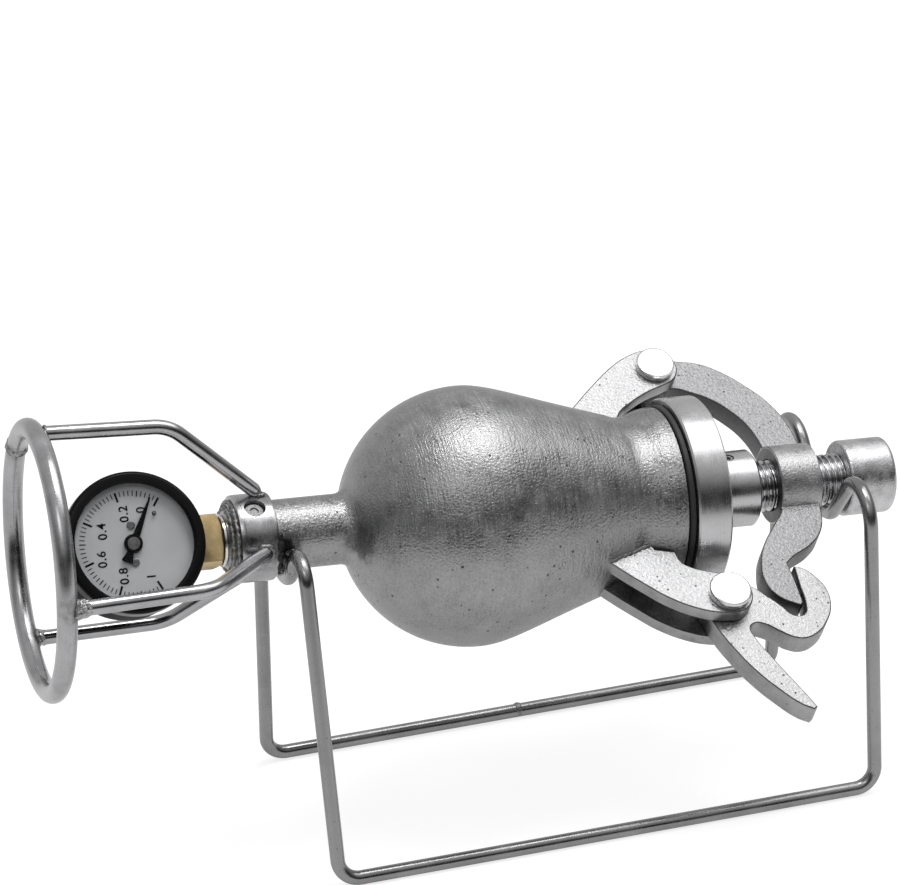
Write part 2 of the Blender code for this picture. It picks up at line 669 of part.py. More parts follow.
# The gasket, the lid and its grub screw
turned("mouth_gasket", [
    (MOUTH + GAP + GASKET, MOUTH_BORE + GAP),
    (MOUTH + GAP + GASKET, GASKET_RADIUS),
    (MOUTH + GAP, GASKET_RADIUS),
    (MOUTH + GAP, MOUTH_BORE + GAP),
], axis_frame, dark_rubber, True)
lid_frame = frame("lid_slide", axis_frame, (LID_LEFT, 0, 0))
spigot = MOUTH_BORE - 0.0010
lid = turned("lid", [
    (LID_BOSS_END - LID_LEFT, LID_BOSS_RADIUS - LID_EDGE),
    (LID_BOSS_END - LID_EDGE - LID_LEFT, LID_BOSS_RADIUS),
    (LID_THICKNESS, LID_BOSS_RADIUS),
    (LID_THICKNESS, LID_RADIUS - LID_EDGE),
    (LID_THICKNESS - LID_EDGE, LID_RADIUS),
    (LID_EDGE, LID_RADIUS),
    (0.0, LID_RADIUS - LID_EDGE),
    (0.0, spigot),
    (-LID_SPIGOT, spigot),
    (-LID_SPIGOT, 0.0),
    (SPINDLE_START - 0.0010 - LID_LEFT, 0.0),
    (SPINDLE_START - 0.0010 - LID_LEFT, SPINDLE_RADIUS + GAP),
    (LID_BOSS_END - LID_LEFT, SPINDLE_RADIUS + GAP),
], lid_frame, steel_polished, True)
groove_x = SPINDLE_START + SPINDLE_LENGTH * 0.30
grub_turn = GRUB_ANGLE + CLAMP_TURN - math.pi / 2
grub_hole = drill("grub_hole", GRUB_RADIUS + GAP, LID_BOSS_RADIUS, lid_frame,
                  (groove_x - LID_LEFT, -math.sin(grub_turn) * (SPINDLE_RADIUS + LID_BOSS_RADIUS / 2 - 0.001),
                   math.cos(grub_turn) * (SPINDLE_RADIUS + LID_BOSS_RADIUS / 2 - 0.001)),
                  (grub_turn, 0, 0), 16)
boolean(lid, grub_hole)
turned("lid_grub_screw", [
    (LID_BOSS_RADIUS - 0.0006, 0.0),
    (LID_BOSS_RADIUS - 0.0006, GRUB_RADIUS),
    (SPINDLE_NECK_RADIUS + 2 * GAP, GRUB_RADIUS),
    (SPINDLE_NECK_RADIUS + 2 * GAP, 0.0),
], lid_frame, steel_satin, False, 16, (grub_turn, 0, 0), (groove_x - LID_LEFT, 0, 0))

# The clamp's screw turns in the lid's boss, held by the grub screw in its groove
groove = SPINDLE_GROOVE + 2 * GRUB_RADIUS
screw_frame = frame("screw_turn", lid_frame, (LID_BOSS_END - LID_LEFT, 0, 0))
origin = LID_BOSS_END
turned("clamp_screw", [
    (SCREW_HEAD[1] - origin, 0.0),
    (SCREW_HEAD[1] - origin, SCREW_HEAD_RADIUS - SCREW_HEAD_EDGE),
    (SCREW_HEAD[1] - SCREW_HEAD_EDGE * 0.3 - origin, SCREW_HEAD_RADIUS - SCREW_HEAD_EDGE * 0.3),
    (SCREW_HEAD[1] - SCREW_HEAD_EDGE - origin, SCREW_HEAD_RADIUS),
    (SCREW_HEAD[0] + SCREW_HEAD_EDGE - origin, SCREW_HEAD_RADIUS),
    (SCREW_HEAD[0] + SCREW_HEAD_EDGE * 0.3 - origin, SCREW_HEAD_RADIUS - SCREW_HEAD_EDGE * 0.3),
    (SCREW_HEAD[0] - origin, SCREW_HEAD_RADIUS - SCREW_HEAD_EDGE),
    (SCREW_HEAD[0] - origin, SCREW_RADIUS),
    (GAP, SCREW_RADIUS),
    (GAP, SPINDLE_RADIUS),
    (groove_x + groove / 2 - origin, SPINDLE_RADIUS),
    (groove_x + groove / 2 - origin, SPINDLE_NECK_RADIUS),
    (groove_x - groove / 2 - origin, SPINDLE_NECK_RADIUS),
    (groove_x - groove / 2 - origin, SPINDLE_RADIUS),
    (SPINDLE_START - origin, SPINDLE_RADIUS),
    (SPINDLE_START - origin, 0.0),
], screw_frame, steel_polished, False, 24)

# The gauge's frame, whose z points out of the dial, carries the square adapter too
gauge_frame = frame("gauge_frame", axis_frame, (GAUGE_X, 0, 0),
                    (math.pi / 2 + CLAMP_TURN - GAUGE_TILT, 0, 0))
UPRIGHT = (0, 0, 0)

# The brass adapter, from the gauge's case into the neck, and its washer
adapter_middle = (ADAPTER_LEFT + ADAPTER_RIGHT) / 2 - GAUGE_X
adapter = block("brass_adapter", (ADAPTER_LENGTH, ADAPTER_FLATS, ADAPTER_FLATS), gauge_frame, brass,
                (adapter_middle, 0, 0))
adapter_turned = turned("adapter_turned", [
    (ADAPTER_RIGHT, 0.0),
    (ADAPTER_RIGHT, ADAPTER_TURNED[0]),
    (ADAPTER_RIGHT - ADAPTER_TURNED[1], ADAPTER_FLATS * 0.71),
    (ADAPTER_LEFT - 0.0010, ADAPTER_FLATS * 0.71),
    (ADAPTER_LEFT - 0.0010, 0.0),
], axis_frame, brass, False, 32)
boolean(adapter, as_cutter(adapter_turned), "INTERSECT")
adapter_stub = drill("adapter_stub", STUB_RADIUS, STUB_LENGTH + 0.004, axis_frame,
                     (ADAPTER_RIGHT + STUB_LENGTH / 2 - 0.002, 0, 0), ALONG, 24)
boolean(adapter, adapter_stub, "UNION")
passage = drill("passage", PASSAGE_RADIUS, 0.080, axis_frame, (ADAPTER_RIGHT, 0, 0), ALONG, 16)
boolean(adapter, passage)
turned("sealing_washer", [
    (WASHER_LEFT + WASHER, stub_seat),
    (WASHER_LEFT + WASHER, WASHER_RADIUS),
    (WASHER_LEFT, WASHER_RADIUS),
    (WASHER_LEFT, stub_seat),
], axis_frame, steel_polished, True, 24)

# The gauge
case_inner = CASE_RADIUS - CASE_WALL
case = turned("gauge_case", [
    (CASE_RIM, CASE_RADIUS),
    (CASE_BACK + CASE_BEND, CASE_RADIUS),
    (CASE_BACK + CASE_BEND * 0.3, CASE_RADIUS - CASE_BEND * 0.3),
    (CASE_BACK, CASE_RADIUS - CASE_BEND),
    (CASE_BACK, 0.0),
    (CASE_BACK + CASE_WALL, 0.0),
    (CASE_BACK + CASE_WALL, case_inner - CASE_BEND + CASE_WALL),
    (CASE_BACK + CASE_BEND + CASE_WALL, case_inner),
    (CASE_RIM, case_inner),
], gauge_frame, black_paint, True, 32, UPRIGHT)
boolean(case, drill("stem_hole", STEM_RADIUS + GAP, CASE_HOLE, gauge_frame, (CASE_RADIUS, 0, 0), ALONG, 24))
turned("gauge_bezel", [
    (BEZEL_FRONT, BEZEL_OPENING + 0.0006),
    (BEZEL_FRONT, BEZEL_RADIUS - 0.0010),
    (BEZEL_FRONT - 0.0010, BEZEL_RADIUS),
    (BEZEL_BACK, BEZEL_RADIUS),
    (BEZEL_BACK, CASE_RADIUS + GAP),
    (BEZEL_FRONT - 0.0015, CASE_RADIUS + GAP),
    (BEZEL_FRONT - 0.0015, BEZEL_OPENING),
    (BEZEL_FRONT - 0.0006, BEZEL_OPENING),
], gauge_frame, black_paint, True, 32, UPRIGHT)
window_front = BEZEL_FRONT - 0.0015 - GAP
turned("gauge_window", [
    (window_front, 0.0),
    (window_front, CASE_RADIUS - GAP),
    (window_front - WINDOW, CASE_RADIUS - GAP),
    (window_front - WINDOW, 0.0),
], gauge_frame, clear, False, 32, UPRIGHT)
dial = place("gauge_dial", round_bar(case_inner - GAP, DIAL), gauge_frame, dial_white,
             (0, 0, (DIAL_FACE + DIAL_BACK) / 2))
boolean(dial, drill("dial_hole", NEEDLE_SHAFT + GAP, 0.004, gauge_frame, (0, 0, DIAL_FACE), UPRIGHT, 12))

stem = block("gauge_stem", STEM_BLOCK, gauge_frame, brass, (STEM_BLOCK_X, 0, 0))
stem_end = ADAPTER_LEFT - GAUGE_X - GAP
stem_rod = drill("stem_rod", STEM_RADIUS - 0.0002, stem_end - STEM_BLOCK_X, gauge_frame,
                 ((stem_end + STEM_BLOCK_X) / 2, 0, 0), ALONG, 24)
boolean(stem, stem_rod, "UNION")
boolean(stem, drill("stem_passage", PASSAGE_RADIUS, stem_end, gauge_frame,
                    (stem_end / 2 + STEM_BLOCK_X, 0, 0), ALONG, 16))
layer = STEM_BLOCK[2] / 2 + GAP
tube_path = [(x, y, layer + TUBE_RADIUS)
             for x, y in arc((0, 0), TUBE_BEND, math.radians(-12), math.radians(-12) + TUBE_SWEEP, 18)]
tube = mesh_of(rod_along("gauge_bourdon_tube", tube_path, TUBE_RADIUS, gauge_frame, brass, 2))
smooth(tube, 50)
movement = block("gauge_movement", MOVEMENT, gauge_frame, brass, (0.0025, 0, layer + MOVEMENT[2] / 2))
boolean(movement, drill("shaft_hole", NEEDLE_SHAFT + GAP, 0.020, gauge_frame, (0, 0, layer), UPRIGHT, 12))
for name, side in (("gauge_dial_screw_a", 1), ("gauge_dial_screw_b", -1)):
    turned(name, [
        (DIAL_FACE + GAP + 0.0006, 0.0),
        (DIAL_FACE + GAP + 0.0006, DIAL_SCREW_HEAD),
        (DIAL_FACE + GAP, DIAL_SCREW_HEAD),
        (DIAL_FACE + GAP, DIAL_SCREW_SHANK),
        (DIAL_BACK - 0.0010, DIAL_SCREW_SHANK),
        (DIAL_BACK - 0.0010, 0.0),
    ], gauge_frame, steel_satin, False, 12, UPRIGHT, (0, side * DIAL_SCREW_AT, 0))
    boolean(dial, drill(name + "_hole", DIAL_SCREW_SHANK + GAP, 0.004, gauge_frame,
                        (0, side * DIAL_SCREW_AT, DIAL_FACE), UPRIGHT, 12))
turned("gauge_stop_pin", [
    (DIAL_FACE + 0.0018, 0.0),
    (DIAL_FACE + 0.0018, STOP_PIN_RADIUS),
    (DIAL_BACK - 0.0006, STOP_PIN_RADIUS),
    (DIAL_BACK - 0.0006, 0.0),
], gauge_frame, steel_satin, False, 8, UPRIGHT, (*STOP_PIN_AT, 0))
boolean(dial, drill("stop_pin_hole", STOP_PIN_RADIUS + GAP, 0.004, gauge_frame,
                    (*STOP_PIN_AT, DIAL_FACE), UPRIGHT, 8))

# The needle turns about the gauge's own z, on a shaft that goes down into the movement
needle_frame = frame("needle_pivot", gauge_frame, (0, 0, DIAL_FACE), (0, 0, NEEDLE_ANGLE))
needle_curve = bpy.data.curves.new("gauge_needle", "CURVE")
needle_curve.dimensions = "2D"
needle_curve.fill_mode = "BOTH"
needle_curve.extrude = NEEDLE_THICKNESS / 2
spline = needle_curve.splines.new("POLY")
shape = [(NEEDLE_TIP, 0.0002), (0.0020, 0.0012), (-0.0040, 0.0010), (-NEEDLE_TAIL, 0.0020)]
shape += [(x, -y) for x, y in reversed(shape)]
spline.points.add(len(shape) - 1)
for point, (x, y) in zip(spline.points, shape):
    point.co = (x, y, 0, 1)
spline.use_cyclic_u = True
needle = mesh_of(place("gauge_needle", needle_curve, needle_frame, black_paint,
                       (0, 0, NEEDLE_HEIGHT + NEEDLE_THICKNESS / 2)))
needle_top = NEEDLE_HEIGHT + NEEDLE_THICKNESS
hub = turned("needle_hub", [
    (needle_top + 0.0003, 0.0),
    (needle_top + 0.0003, NEEDLE_HUB - 0.0003),
    (needle_top, NEEDLE_HUB),
    (NEEDLE_HEIGHT - 0.0003, NEEDLE_HUB),
    (NEEDLE_HEIGHT - 0.0003, NEEDLE_SHAFT),
    (layer + MOVEMENT[2] / 2 - DIAL_FACE, NEEDLE_SHAFT),
    (layer + MOVEMENT[2] / 2 - DIAL_FACE, 0.0),
], needle_frame, black_paint, False, 16, UPRIGHT)
boolean(needle, as_cutter(hub), "UNION")
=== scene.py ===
import math

import bmesh
import bpy
from mathutils import Euler, Matrix, Vector, noise


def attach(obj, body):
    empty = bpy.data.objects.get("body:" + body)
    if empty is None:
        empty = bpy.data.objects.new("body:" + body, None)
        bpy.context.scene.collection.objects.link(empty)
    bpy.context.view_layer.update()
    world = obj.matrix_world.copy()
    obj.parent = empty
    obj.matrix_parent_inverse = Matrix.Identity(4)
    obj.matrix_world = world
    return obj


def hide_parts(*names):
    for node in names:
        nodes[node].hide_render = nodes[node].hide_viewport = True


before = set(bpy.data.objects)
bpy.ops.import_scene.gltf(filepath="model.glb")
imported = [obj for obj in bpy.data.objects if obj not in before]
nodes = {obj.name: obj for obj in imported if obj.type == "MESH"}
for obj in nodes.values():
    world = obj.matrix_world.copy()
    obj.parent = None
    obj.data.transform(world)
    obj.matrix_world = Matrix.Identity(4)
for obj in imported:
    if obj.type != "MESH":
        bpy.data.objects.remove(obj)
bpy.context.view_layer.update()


# The view: a long lens about 24 degrees above the bench, on the crank's side of the front.
# It is turned a little about its own axis, as the photograph is.
azimuth, elevation, roll = (math.radians(a) for a in (-16.34, 23.557, -2.114))
looks_at, view_distance = Vector((-0.0505, 0.0, 0.180)), 1.797
across = Vector((math.cos(azimuth), math.sin(azimuth), 0))
upward = Vector((-math.sin(azimuth) * math.sin(elevation), math.cos(azimuth) * math.sin(elevation),
                 math.cos(elevation)))
towards = across.cross(upward)
view_turn = Matrix((
    math.cos(roll) * across + math.sin(roll) * upward,
    -math.sin(roll) * across + math.cos(roll) * upward,
    towards)).transposed()
camera_data = bpy.data.cameras.new("camera")
camera_data.lens = 159.12
camera_data.sensor_width = 36.0
camera_data.sensor_fit = "HORIZONTAL"
camera_data.clip_start = 0.05
camera = bpy.data.objects.new("camera", camera_data)
camera.matrix_world = Matrix.Translation(looks_at + towards * view_distance) @ view_turn.to_4x4()
bpy.context.scene.collection.objects.link(camera)
bpy.context.scene.camera = camera
bpy.context.scene.view_settings.view_transform = "Standard"


# The studio: a broad soft lamp overhead, a darker room in front and a pale one behind, so that
# round metal shows a bright top, a dark band and the floor's light from below. The white floor
# keeps the stand's faint shadow.
def put(tree, kind, feeds=(), **settings):
    """Adds a node, sets it and feeds its sockets with values or with other nodes' outputs."""
    node = tree.nodes.new("ShaderNode" + kind)
    for key, value in settings.items():
        setattr(node, key, value)
    for key, value in dict(feeds).items():
        if isinstance(value, bpy.types.NodeSocket):
            tree.links.new(value, node.inputs[key])
        else:
            node.inputs[key].default_value = value
    return node


def sums(tree, operation, *terms, clamp=False):
    """One step of arithmetic."""
    return put(tree, "Math", enumerate(terms), operation=operation, use_clamp=clamp).outputs["Value"]


def spread(tree, value, old, new=(0.0, 1.0), kind="LINEAR"):
    """Carries a value from one range to another."""
    return put(tree, "MapRange", {"Value": value, "From Min": old[0], "From Max": old[1], "To Min": new[0],
                                  "To Max": new[1]}, interpolation_type=kind).outputs["Result"]


def soft_lamp(name, at, aim, width, height, power):
    """A rectangular soft lamp."""
    data = bpy.data.lights.new(name, "AREA")
    data.shape = "RECTANGLE"
    data.size, data.size_y = width, height
    data.energy = power
    lamp = bpy.data.objects.new(name, data)
    lamp.location = at
    lamp.rotation_euler = (Vector(at) - Vector(aim)).to_track_quat("Z", "Y").to_euler()
    bpy.context.scene.collection.objects.link(lamp)


world = bpy.data.worlds.new("studio")
bpy.context.scene.world = world
world.use_nodes = True
sky = world.node_tree
sky.nodes.clear()
place = put(sky, "TexCoord")
way = put(sky, "SeparateXYZ", {"Vector": place.outputs["Generated"]}).outputs
behind = spread(sky, way["Y"], (-0.75, 0.85), (0.025, 0.55), "SMOOTHSTEP")
high = spread(sky, way["Z"], (0.30, 0.85), kind="SMOOTHSTEP")
blend = put(sky, "Mix", {"Factor": high, "A": behind, "B": 0.60}, data_type="FLOAT")
glow = put(sky, "Background", {"Color": blend.outputs["Result"]})
put(sky, "OutputWorld", {"Surface": glow.outputs["Background"]})

soft_lamp("lamp_over", (0.06, 0.02, 1.20), (0.0, 0.0, 0.15), 0.42, 0.42, 3.4)
soft_lamp("lamp_right", (0.60, 0.06, 1.20), (0.15, 0.0, 0.15), 0.85, 0.60, 2.9)
soft_lamp("lamp_left", (-0.55, -0.95, 1.45), (-0.10, 0.0, 0.14), 0.6, 0.4, 1.5)

floor_mesh = bpy.data.meshes.new("floor")
floor_mesh.from_pydata([(-6, -6, 0), (6, -6, 0), (6, 6, 0), (-6, 6, 0)], [], [(0, 1, 2, 3)])
floor = bpy.data.objects.new("floor", floor_mesh)
bpy.context.scene.collection.objects.link(floor)
white_floor = bpy.data.materials.new("white_floor")
white_floor.use_nodes = True
floor_mesh.materials.append(white_floor)
tree = white_floor.node_tree
shader = tree.nodes["Principled BSDF"]
shader.inputs["Base Color"].default_value = (0.50, 0.50, 0.50, 1)
shader.inputs["Roughness"].default_value = 0.9
shader.inputs["Specular IOR Level"].default_value = 0.0
shader.inputs["Emission Color"].default_value = (1, 1, 1, 1)
ray = put(tree, "LightPath").outputs
seen = sums(tree, "MULTIPLY", sums(tree, "MAXIMUM", ray["Is Camera Ray"], ray["Is Transmission Ray"]), 0.75)
mirrored = sums(tree, "MULTIPLY_ADD", ray["Is Glossy Ray"], 0.42, seen)
tree.links.new(mirrored, shader.inputs["Emission Strength"])


# The stand: one 6.6 mm bright-drawn steel rod, bent cold into the base and both end frames.
# Its ends meet in a ground butt weld on the rear rail, where the path here begins and ends.
# The drum turns in its cradles about a tilted axis, with the plane of its clamp leaning.
axis_at, plane_lean = Vector((-0.0438, 0.0, 0.1424)), 60.15
axis_turn = Euler((math.radians(-plane_lean), math.radians(3.52), 0.0))
drum = Matrix.Translation(axis_at) @ axis_turn.to_matrix().to_4x4()
FLOAT, COLOUR, VECTOR = "NodeSocketFloat", "NodeSocketColor", "NodeSocketVector"


def effect(name, takes, gives):
    """A shared effect with named inputs and outputs."""
    tree = bpy.data.node_groups.new(name, "ShaderNodeTree")
    for label, kind, value in takes:
        tree.interface.new_socket(label, in_out="INPUT", socket_type=kind).default_value = value
    for label, kind in gives:
        tree.interface.new_socket(label, in_out="OUTPUT", socket_type=kind)
    return tree, tree.nodes.new("NodeGroupInput").outputs, tree.nodes.new("NodeGroupOutput").inputs


def clouds(tree, place, scale, detail, roughness=0.5):
    """Soft noise over the surface."""
    return put(tree, "TexNoise", {"Vector": place, "Scale": scale, "Detail": detail,
                                  "Roughness": roughness}).outputs["Fac"]


# Where a point lies on the drum: along the axis, and round it without a seam.
# "Lathe" is stretched round the axis, for the marks that turning leaves.
lathe_place, taken, given = effect(
    "lathe_place", [("Fine", FLOAT, 900.0), ("Long", FLOAT, 6.0)], [("Lathe", VECTOR), ("Place", VECTOR)])
where = put(lathe_place, "TexCoord").outputs["Object"]
local = put(lathe_place, "Mapping", {"Vector": where, "Location": axis_at, "Rotation": axis_turn},
            vector_type="TEXTURE")
parts = put(lathe_place, "SeparateXYZ", {"Vector": local.outputs["Vector"]}).outputs
outward = put(lathe_place, "CombineXYZ", {"Y": parts["Y"], "Z": parts["Z"]}).outputs["Vector"]
round_it = put(lathe_place, "VectorMath", {0: outward}, operation="NORMALIZE")
long = put(lathe_place, "VectorMath", {0: round_it.outputs["Vector"], "Scale": taken["Long"]},
           operation="SCALE")
radius_of = put(lathe_place, "VectorMath", {0: outward}, operation="LENGTH")
reach = sums(lathe_place, "ADD", parts["X"], radius_of.outputs["Value"])
fine = put(lathe_place, "CombineXYZ", {"X": sums(lathe_place, "MULTIPLY", reach, taken["Fine"])})
turning = put(lathe_place, "VectorMath", {0: long.outputs["Vector"], 1: fine.outputs["Vector"]})
lathe_place.links.new(turning.outputs["Vector"], given["Lathe"])
lathe_place.links.new(where, given["Place"])

# Bare metal: broad tarnish, fine marks along one way, grain, and small pits.
bare_metal, taken, given = effect("bare_metal", [
    ("Place", VECTOR, (0, 0, 0)), ("Marks", VECTOR, (0, 0, 0)), ("Colour", COLOUR, (0.6, 0.6, 0.6, 1)),
    ("Roughness", FLOAT, 0.35), ("Tarnish", FLOAT, 0.3), ("Tarnish Scale", FLOAT, 40.0),
    ("Mark Depth", FLOAT, 0.3), ("Grain", FLOAT, 0.2), ("Grain Scale", FLOAT, 1200.0),
    ("Pits", FLOAT, 0.3), ("Pit Scale", FLOAT, 350.0)],
    [("Colour", COLOUR), ("Roughness", FLOAT), ("Height", FLOAT)])
uneven = spread(bare_metal, clouds(bare_metal, taken["Place"], taken["Tarnish Scale"], 4.0, 0.6),
                (0.3, 0.7), (-1.0, 1.0))
dulled = sums(bare_metal, "MULTIPLY", uneven, taken["Tarnish"])
marks = sums(bare_metal, "SUBTRACT", clouds(bare_metal, taken["Marks"], 1.0, 3.0, 0.55), 0.5)
marks = sums(bare_metal, "MULTIPLY", marks, taken["Mark Depth"])
grain = sums(bare_metal, "SUBTRACT", clouds(bare_metal, taken["Place"], taken["Grain Scale"], 2.0), 0.5)
grain = sums(bare_metal, "MULTIPLY", grain, taken["Grain"])
cells = put(bare_metal, "TexVoronoi", {"Vector": taken["Place"], "Scale": taken["Pit Scale"],
                                       "Randomness": 1.0}).outputs
cell_shade = put(bare_metal, "SeparateColor", {"Color": cells["Color"]}).outputs["Red"]
pit_size = spread(bare_metal, cell_shade, (0.55, 1.0), (0.02, 0.26))
pits = sums(bare_metal, "SUBTRACT", pit_size, cells["Distance"], clamp=True)
pits = sums(bare_metal, "MULTIPLY", sums(bare_metal, "MULTIPLY", pits, 9.0, clamp=True), taken["Pits"])
shade = 1.0
for part, share in ((dulled, 0.22), (marks, 0.5), (grain, 0.6), (pits, -0.6)):
    shade = sums(bare_metal, "MULTIPLY_ADD", part, share, shade)
tone = put(bare_metal, "VectorMath", {0: taken["Colour"], "Scale": shade},
           operation="SCALE").outputs["Vector"]
rough = taken["Roughness"]
for part, share in ((dulled, 0.12), (marks, 0.35)):
    rough = sums(bare_metal, "MULTIPLY_ADD", part, share, rough)
rough = sums(bare_metal, "MULTIPLY_ADD", pits, 0.3, rough, clamp=True)
relief = sums(bare_metal, "SUBTRACT", sums(bare_metal, "ADD", marks, grain), pits)
for label, value in (("Colour", tone), ("Roughness", rough), ("Height", relief)):
    bare_metal.links.new(value, given[label])


def metal(name, colour, roughness, marks, bump, depth, tarnish, grain, pits, metallic=1.0):
    """A bare metal. Its marks run round the axis ("lathe"), along a bar ("drawn") or "every" way,
    so fine across and so long along. Tarnish, grain and pits each have a strength and a scale."""
    material = bpy.data.materials.new(name)
    material.use_nodes = True
    tree = material.node_tree
    way, fine, long = marks
    spot = put(tree, "Group", {"Fine": fine, "Long": long}, node_tree=lathe_place).outputs
    if way == "lathe":
        run = spot["Lathe"]
    elif way == "drawn":
        girth = put(tree, "UVMap", uv_map="length_girth").outputs["UV"]
        run = put(tree, "Mapping", {"Vector": girth, "Scale": (long, fine, 1.0)}).outputs["Vector"]
    else:
        run = put(tree, "Mapping", {"Vector": spot["Place"], "Scale": (fine,) * 3}).outputs["Vector"]
    worked = put(tree, "Group", {
        "Place": spot["Place"], "Marks": run, "Colour": (*colour, 1), "Roughness": roughness,
        "Mark Depth": depth, "Tarnish": tarnish[0], "Tarnish Scale": tarnish[1], "Grain": grain[0],
        "Grain Scale": grain[1], "Pits": pits[0], "Pit Scale": pits[1]}, node_tree=bare_metal).outputs
    skin = put(tree, "Bump", {"Height": worked["Height"], "Distance": 0.0002, "Strength": bump})
    shader = tree.nodes["Principled BSDF"]
    shader.inputs["Metallic"].default_value = metallic
    tree.links.new(worked["Colour"], shader.inputs["Base Color"])
    tree.links.new(worked["Roughness"], shader.inputs["Roughness"])
    tree.links.new(skin.outputs["Normal"], shader.inputs["Normal"])
    return material


def new_piece(mesh, material, body, node, replaces=True):
    """Puts a finished mesh on a body, as the CAD node that it is or as a detail of it."""
    mesh.materials.append(material)
    piece = bpy.data.objects.new(mesh.name, mesh)
    bpy.context.scene.collection.objects.link(piece)
    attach(piece, body)
    if replaces:
        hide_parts(node)
    return piece


def finished(work, name, sharp=180):
    """The mesh of a shape that is done, with its creases sharp from an angle in degrees."""
    mesh = bpy.data.meshes.new(name)
    work.to_mesh(mesh)
    work.free()
    if sharp < 180:
        mesh.set_sharp_from_angle(angle=math.radians(sharp))
    return mesh


def bar(name, path, radius, sides=24):
    """A round bar along a path, capped, with its length and girth as its UV map, in metres."""
    path = [Vector(p) for p in path]
    radii = radius if isinstance(radius, list) else [radius] * len(path)
    work = bmesh.new()
    girth = work.loops.layers.uv.new("length_girth")
    side = (path[1] - path[0]).normalized().orthogonal()
    run, rings = 0.0, []
    for i, point in enumerate(path):
        along = (path[min(i + 1, len(path) - 1)] - path[max(i - 1, 0)]).normalized()
        side = (side - along * side.dot(along)).normalized()
        other = along.cross(side)
        run += (point - path[i - 1]).length if i else 0.0
        ring = [work.verts.new(point + radii[i] * (math.cos(a) * side + math.sin(a) * other))
                for a in (math.tau * k / sides for k in range(sides))]
        rings.append((run, ring))
    for (run_a, a), (run_b, b) in zip(rings, rings[1:]):
        for k in range(sides):
            face = work.faces.new((a[k], a[(k + 1) % sides], b[(k + 1) % sides], b[k]))
            face.smooth = True
            for loop, u, v in zip(face.loops, (run_a, run_a, run_b, run_b), (k, k + 1, k + 1, k)):
                loop[girth].uv = (u, v * math.tau * radii[0] / sides)
    for ring in (list(reversed(rings[0][1])), rings[-1][1]):
        work.faces.new(ring)
    return finished(work, name, 60)


def bent(corners, turn=math.radians(5)):
    """Points of a path whose corners, (point, radius), are bent to that radius."""
    points = [Vector(corners[0][0])]
    for (before, _), (corner, radius), (after, _) in zip(corners, corners[1:], corners[2:]):
        before = (Vector(before) - Vector(corner)).normalized()
        after = (Vector(after) - Vector(corner)).normalized()
        half = before.angle(after) / 2
        centre = Vector(corner) + (before + after).normalized() * (radius / math.sin(half))
        first = Vector(corner) + before * (radius / math.tan(half)) - centre
        bend = math.pi - 2 * half
        axis = before.cross(after).normalized()
        pieces = max(2, round(bend / turn))
        points += [centre + Matrix.Rotation(-bend * k / pieces, 3, axis) @ first for k in range(pieces + 1)]
    return points + [Vector(corners[-1][0])]


def axis_height(x):
    return axis_at.z - (x - axis_at.x) * math.tan(axis_turn.y)


def front_side(half):
    return [((x, -y, z), radius) for (x, y, z), radius in reversed(half)]


drawn_steel = metal("drawn_steel", (0.33, 0.33, 0.335), 0.25, ("drawn", 2600.0, 25.0), bump=0.25, depth=0.45,
                    tarnish=(0.7, 55.0), grain=(0.25, 1700.0), pits=(0.35, 480.0))
weld_metal = metal("weld_metal", (0.29, 0.29, 0.292), 0.40, ("every", 1500.0, 1.0), bump=0.9, depth=0.8,
                   tarnish=(1.4, 260.0), grain=(0.7, 1500.0), pits=(0.6, 700.0))
rod_radius, gap, neck, screw_crest = 0.0033, 0.0003, 0.0161, 0.0120
left_x, left_wide, left_top, left_bend = -0.1311, 0.0404, 0.1492, 0.0110
seat = neck + gap + rod_radius
left = [
    ((-0.1286, 0.0645, rod_radius), 0.0100),
    ((left_x, left_wide, left_top), left_bend),
    ((left_x, seat, left_top), (left_wide - seat) - left_bend * 0.88),
    ((left_x, seat, axis_height(left_x) - seat), seat * 0.99)]
right_x, right_wide, slope = 0.1318, 0.0535, math.radians(48)
seat = screw_crest + gap + rod_radius
right_top = axis_height(right_x) + (right_wide * math.sin(slope) - seat) / math.cos(slope)
right = [
    ((0.1304, 0.0661, rod_radius), 0.0100),
    ((right_x, right_wide, right_top), 0.0160),
    ((right_x, seat * math.tan(slope / 2), axis_height(right_x) - seat), seat * 0.99)]
weld_at = Vector((-0.0020, 0.0653, rod_radius))
loop = [(weld_at, 0)] + left + front_side(left) + list(reversed(front_side(right))) + list(reversed(right))
loop.append((weld_at, 0))
new_piece(bar("stand_loop", bent(loop), rod_radius), drawn_steel, "stand", "stand_rod")
rail = Vector((1.0, -0.0062, 0.0)).normalized()
raised = Vector((0, 0, 0.0004))
swell = [(-0.0013, 0.0032), (-0.0007, 0.00345), (0.0, 0.0036), (0.0007, 0.00342), (0.0013, 0.0032)]
bead = [weld_at + raised + rail * along for along, _ in swell]
new_piece(bar("stand_butt_weld", bead, [radius for _, radius in swell]), weld_metal, "stand", "stand_rod",
          replaces=False)


# The vessel: a casting turned outside, with long tool marks round the belly and small pits.
# The neck is smoother and the waist keeps a rougher casting skin. The neck is darker beside the collar, and a
# patch low on the belly's front, by the neck, is darkened as painted shade and a painted dark reflection.
def on_axis(angle, radius, along):
    """A place about the axis, by its angle in the stand."""
    local = angle + math.radians(plane_lean)
    return drum @ Vector((along, radius * math.cos(local), radius * math.sin(local)))
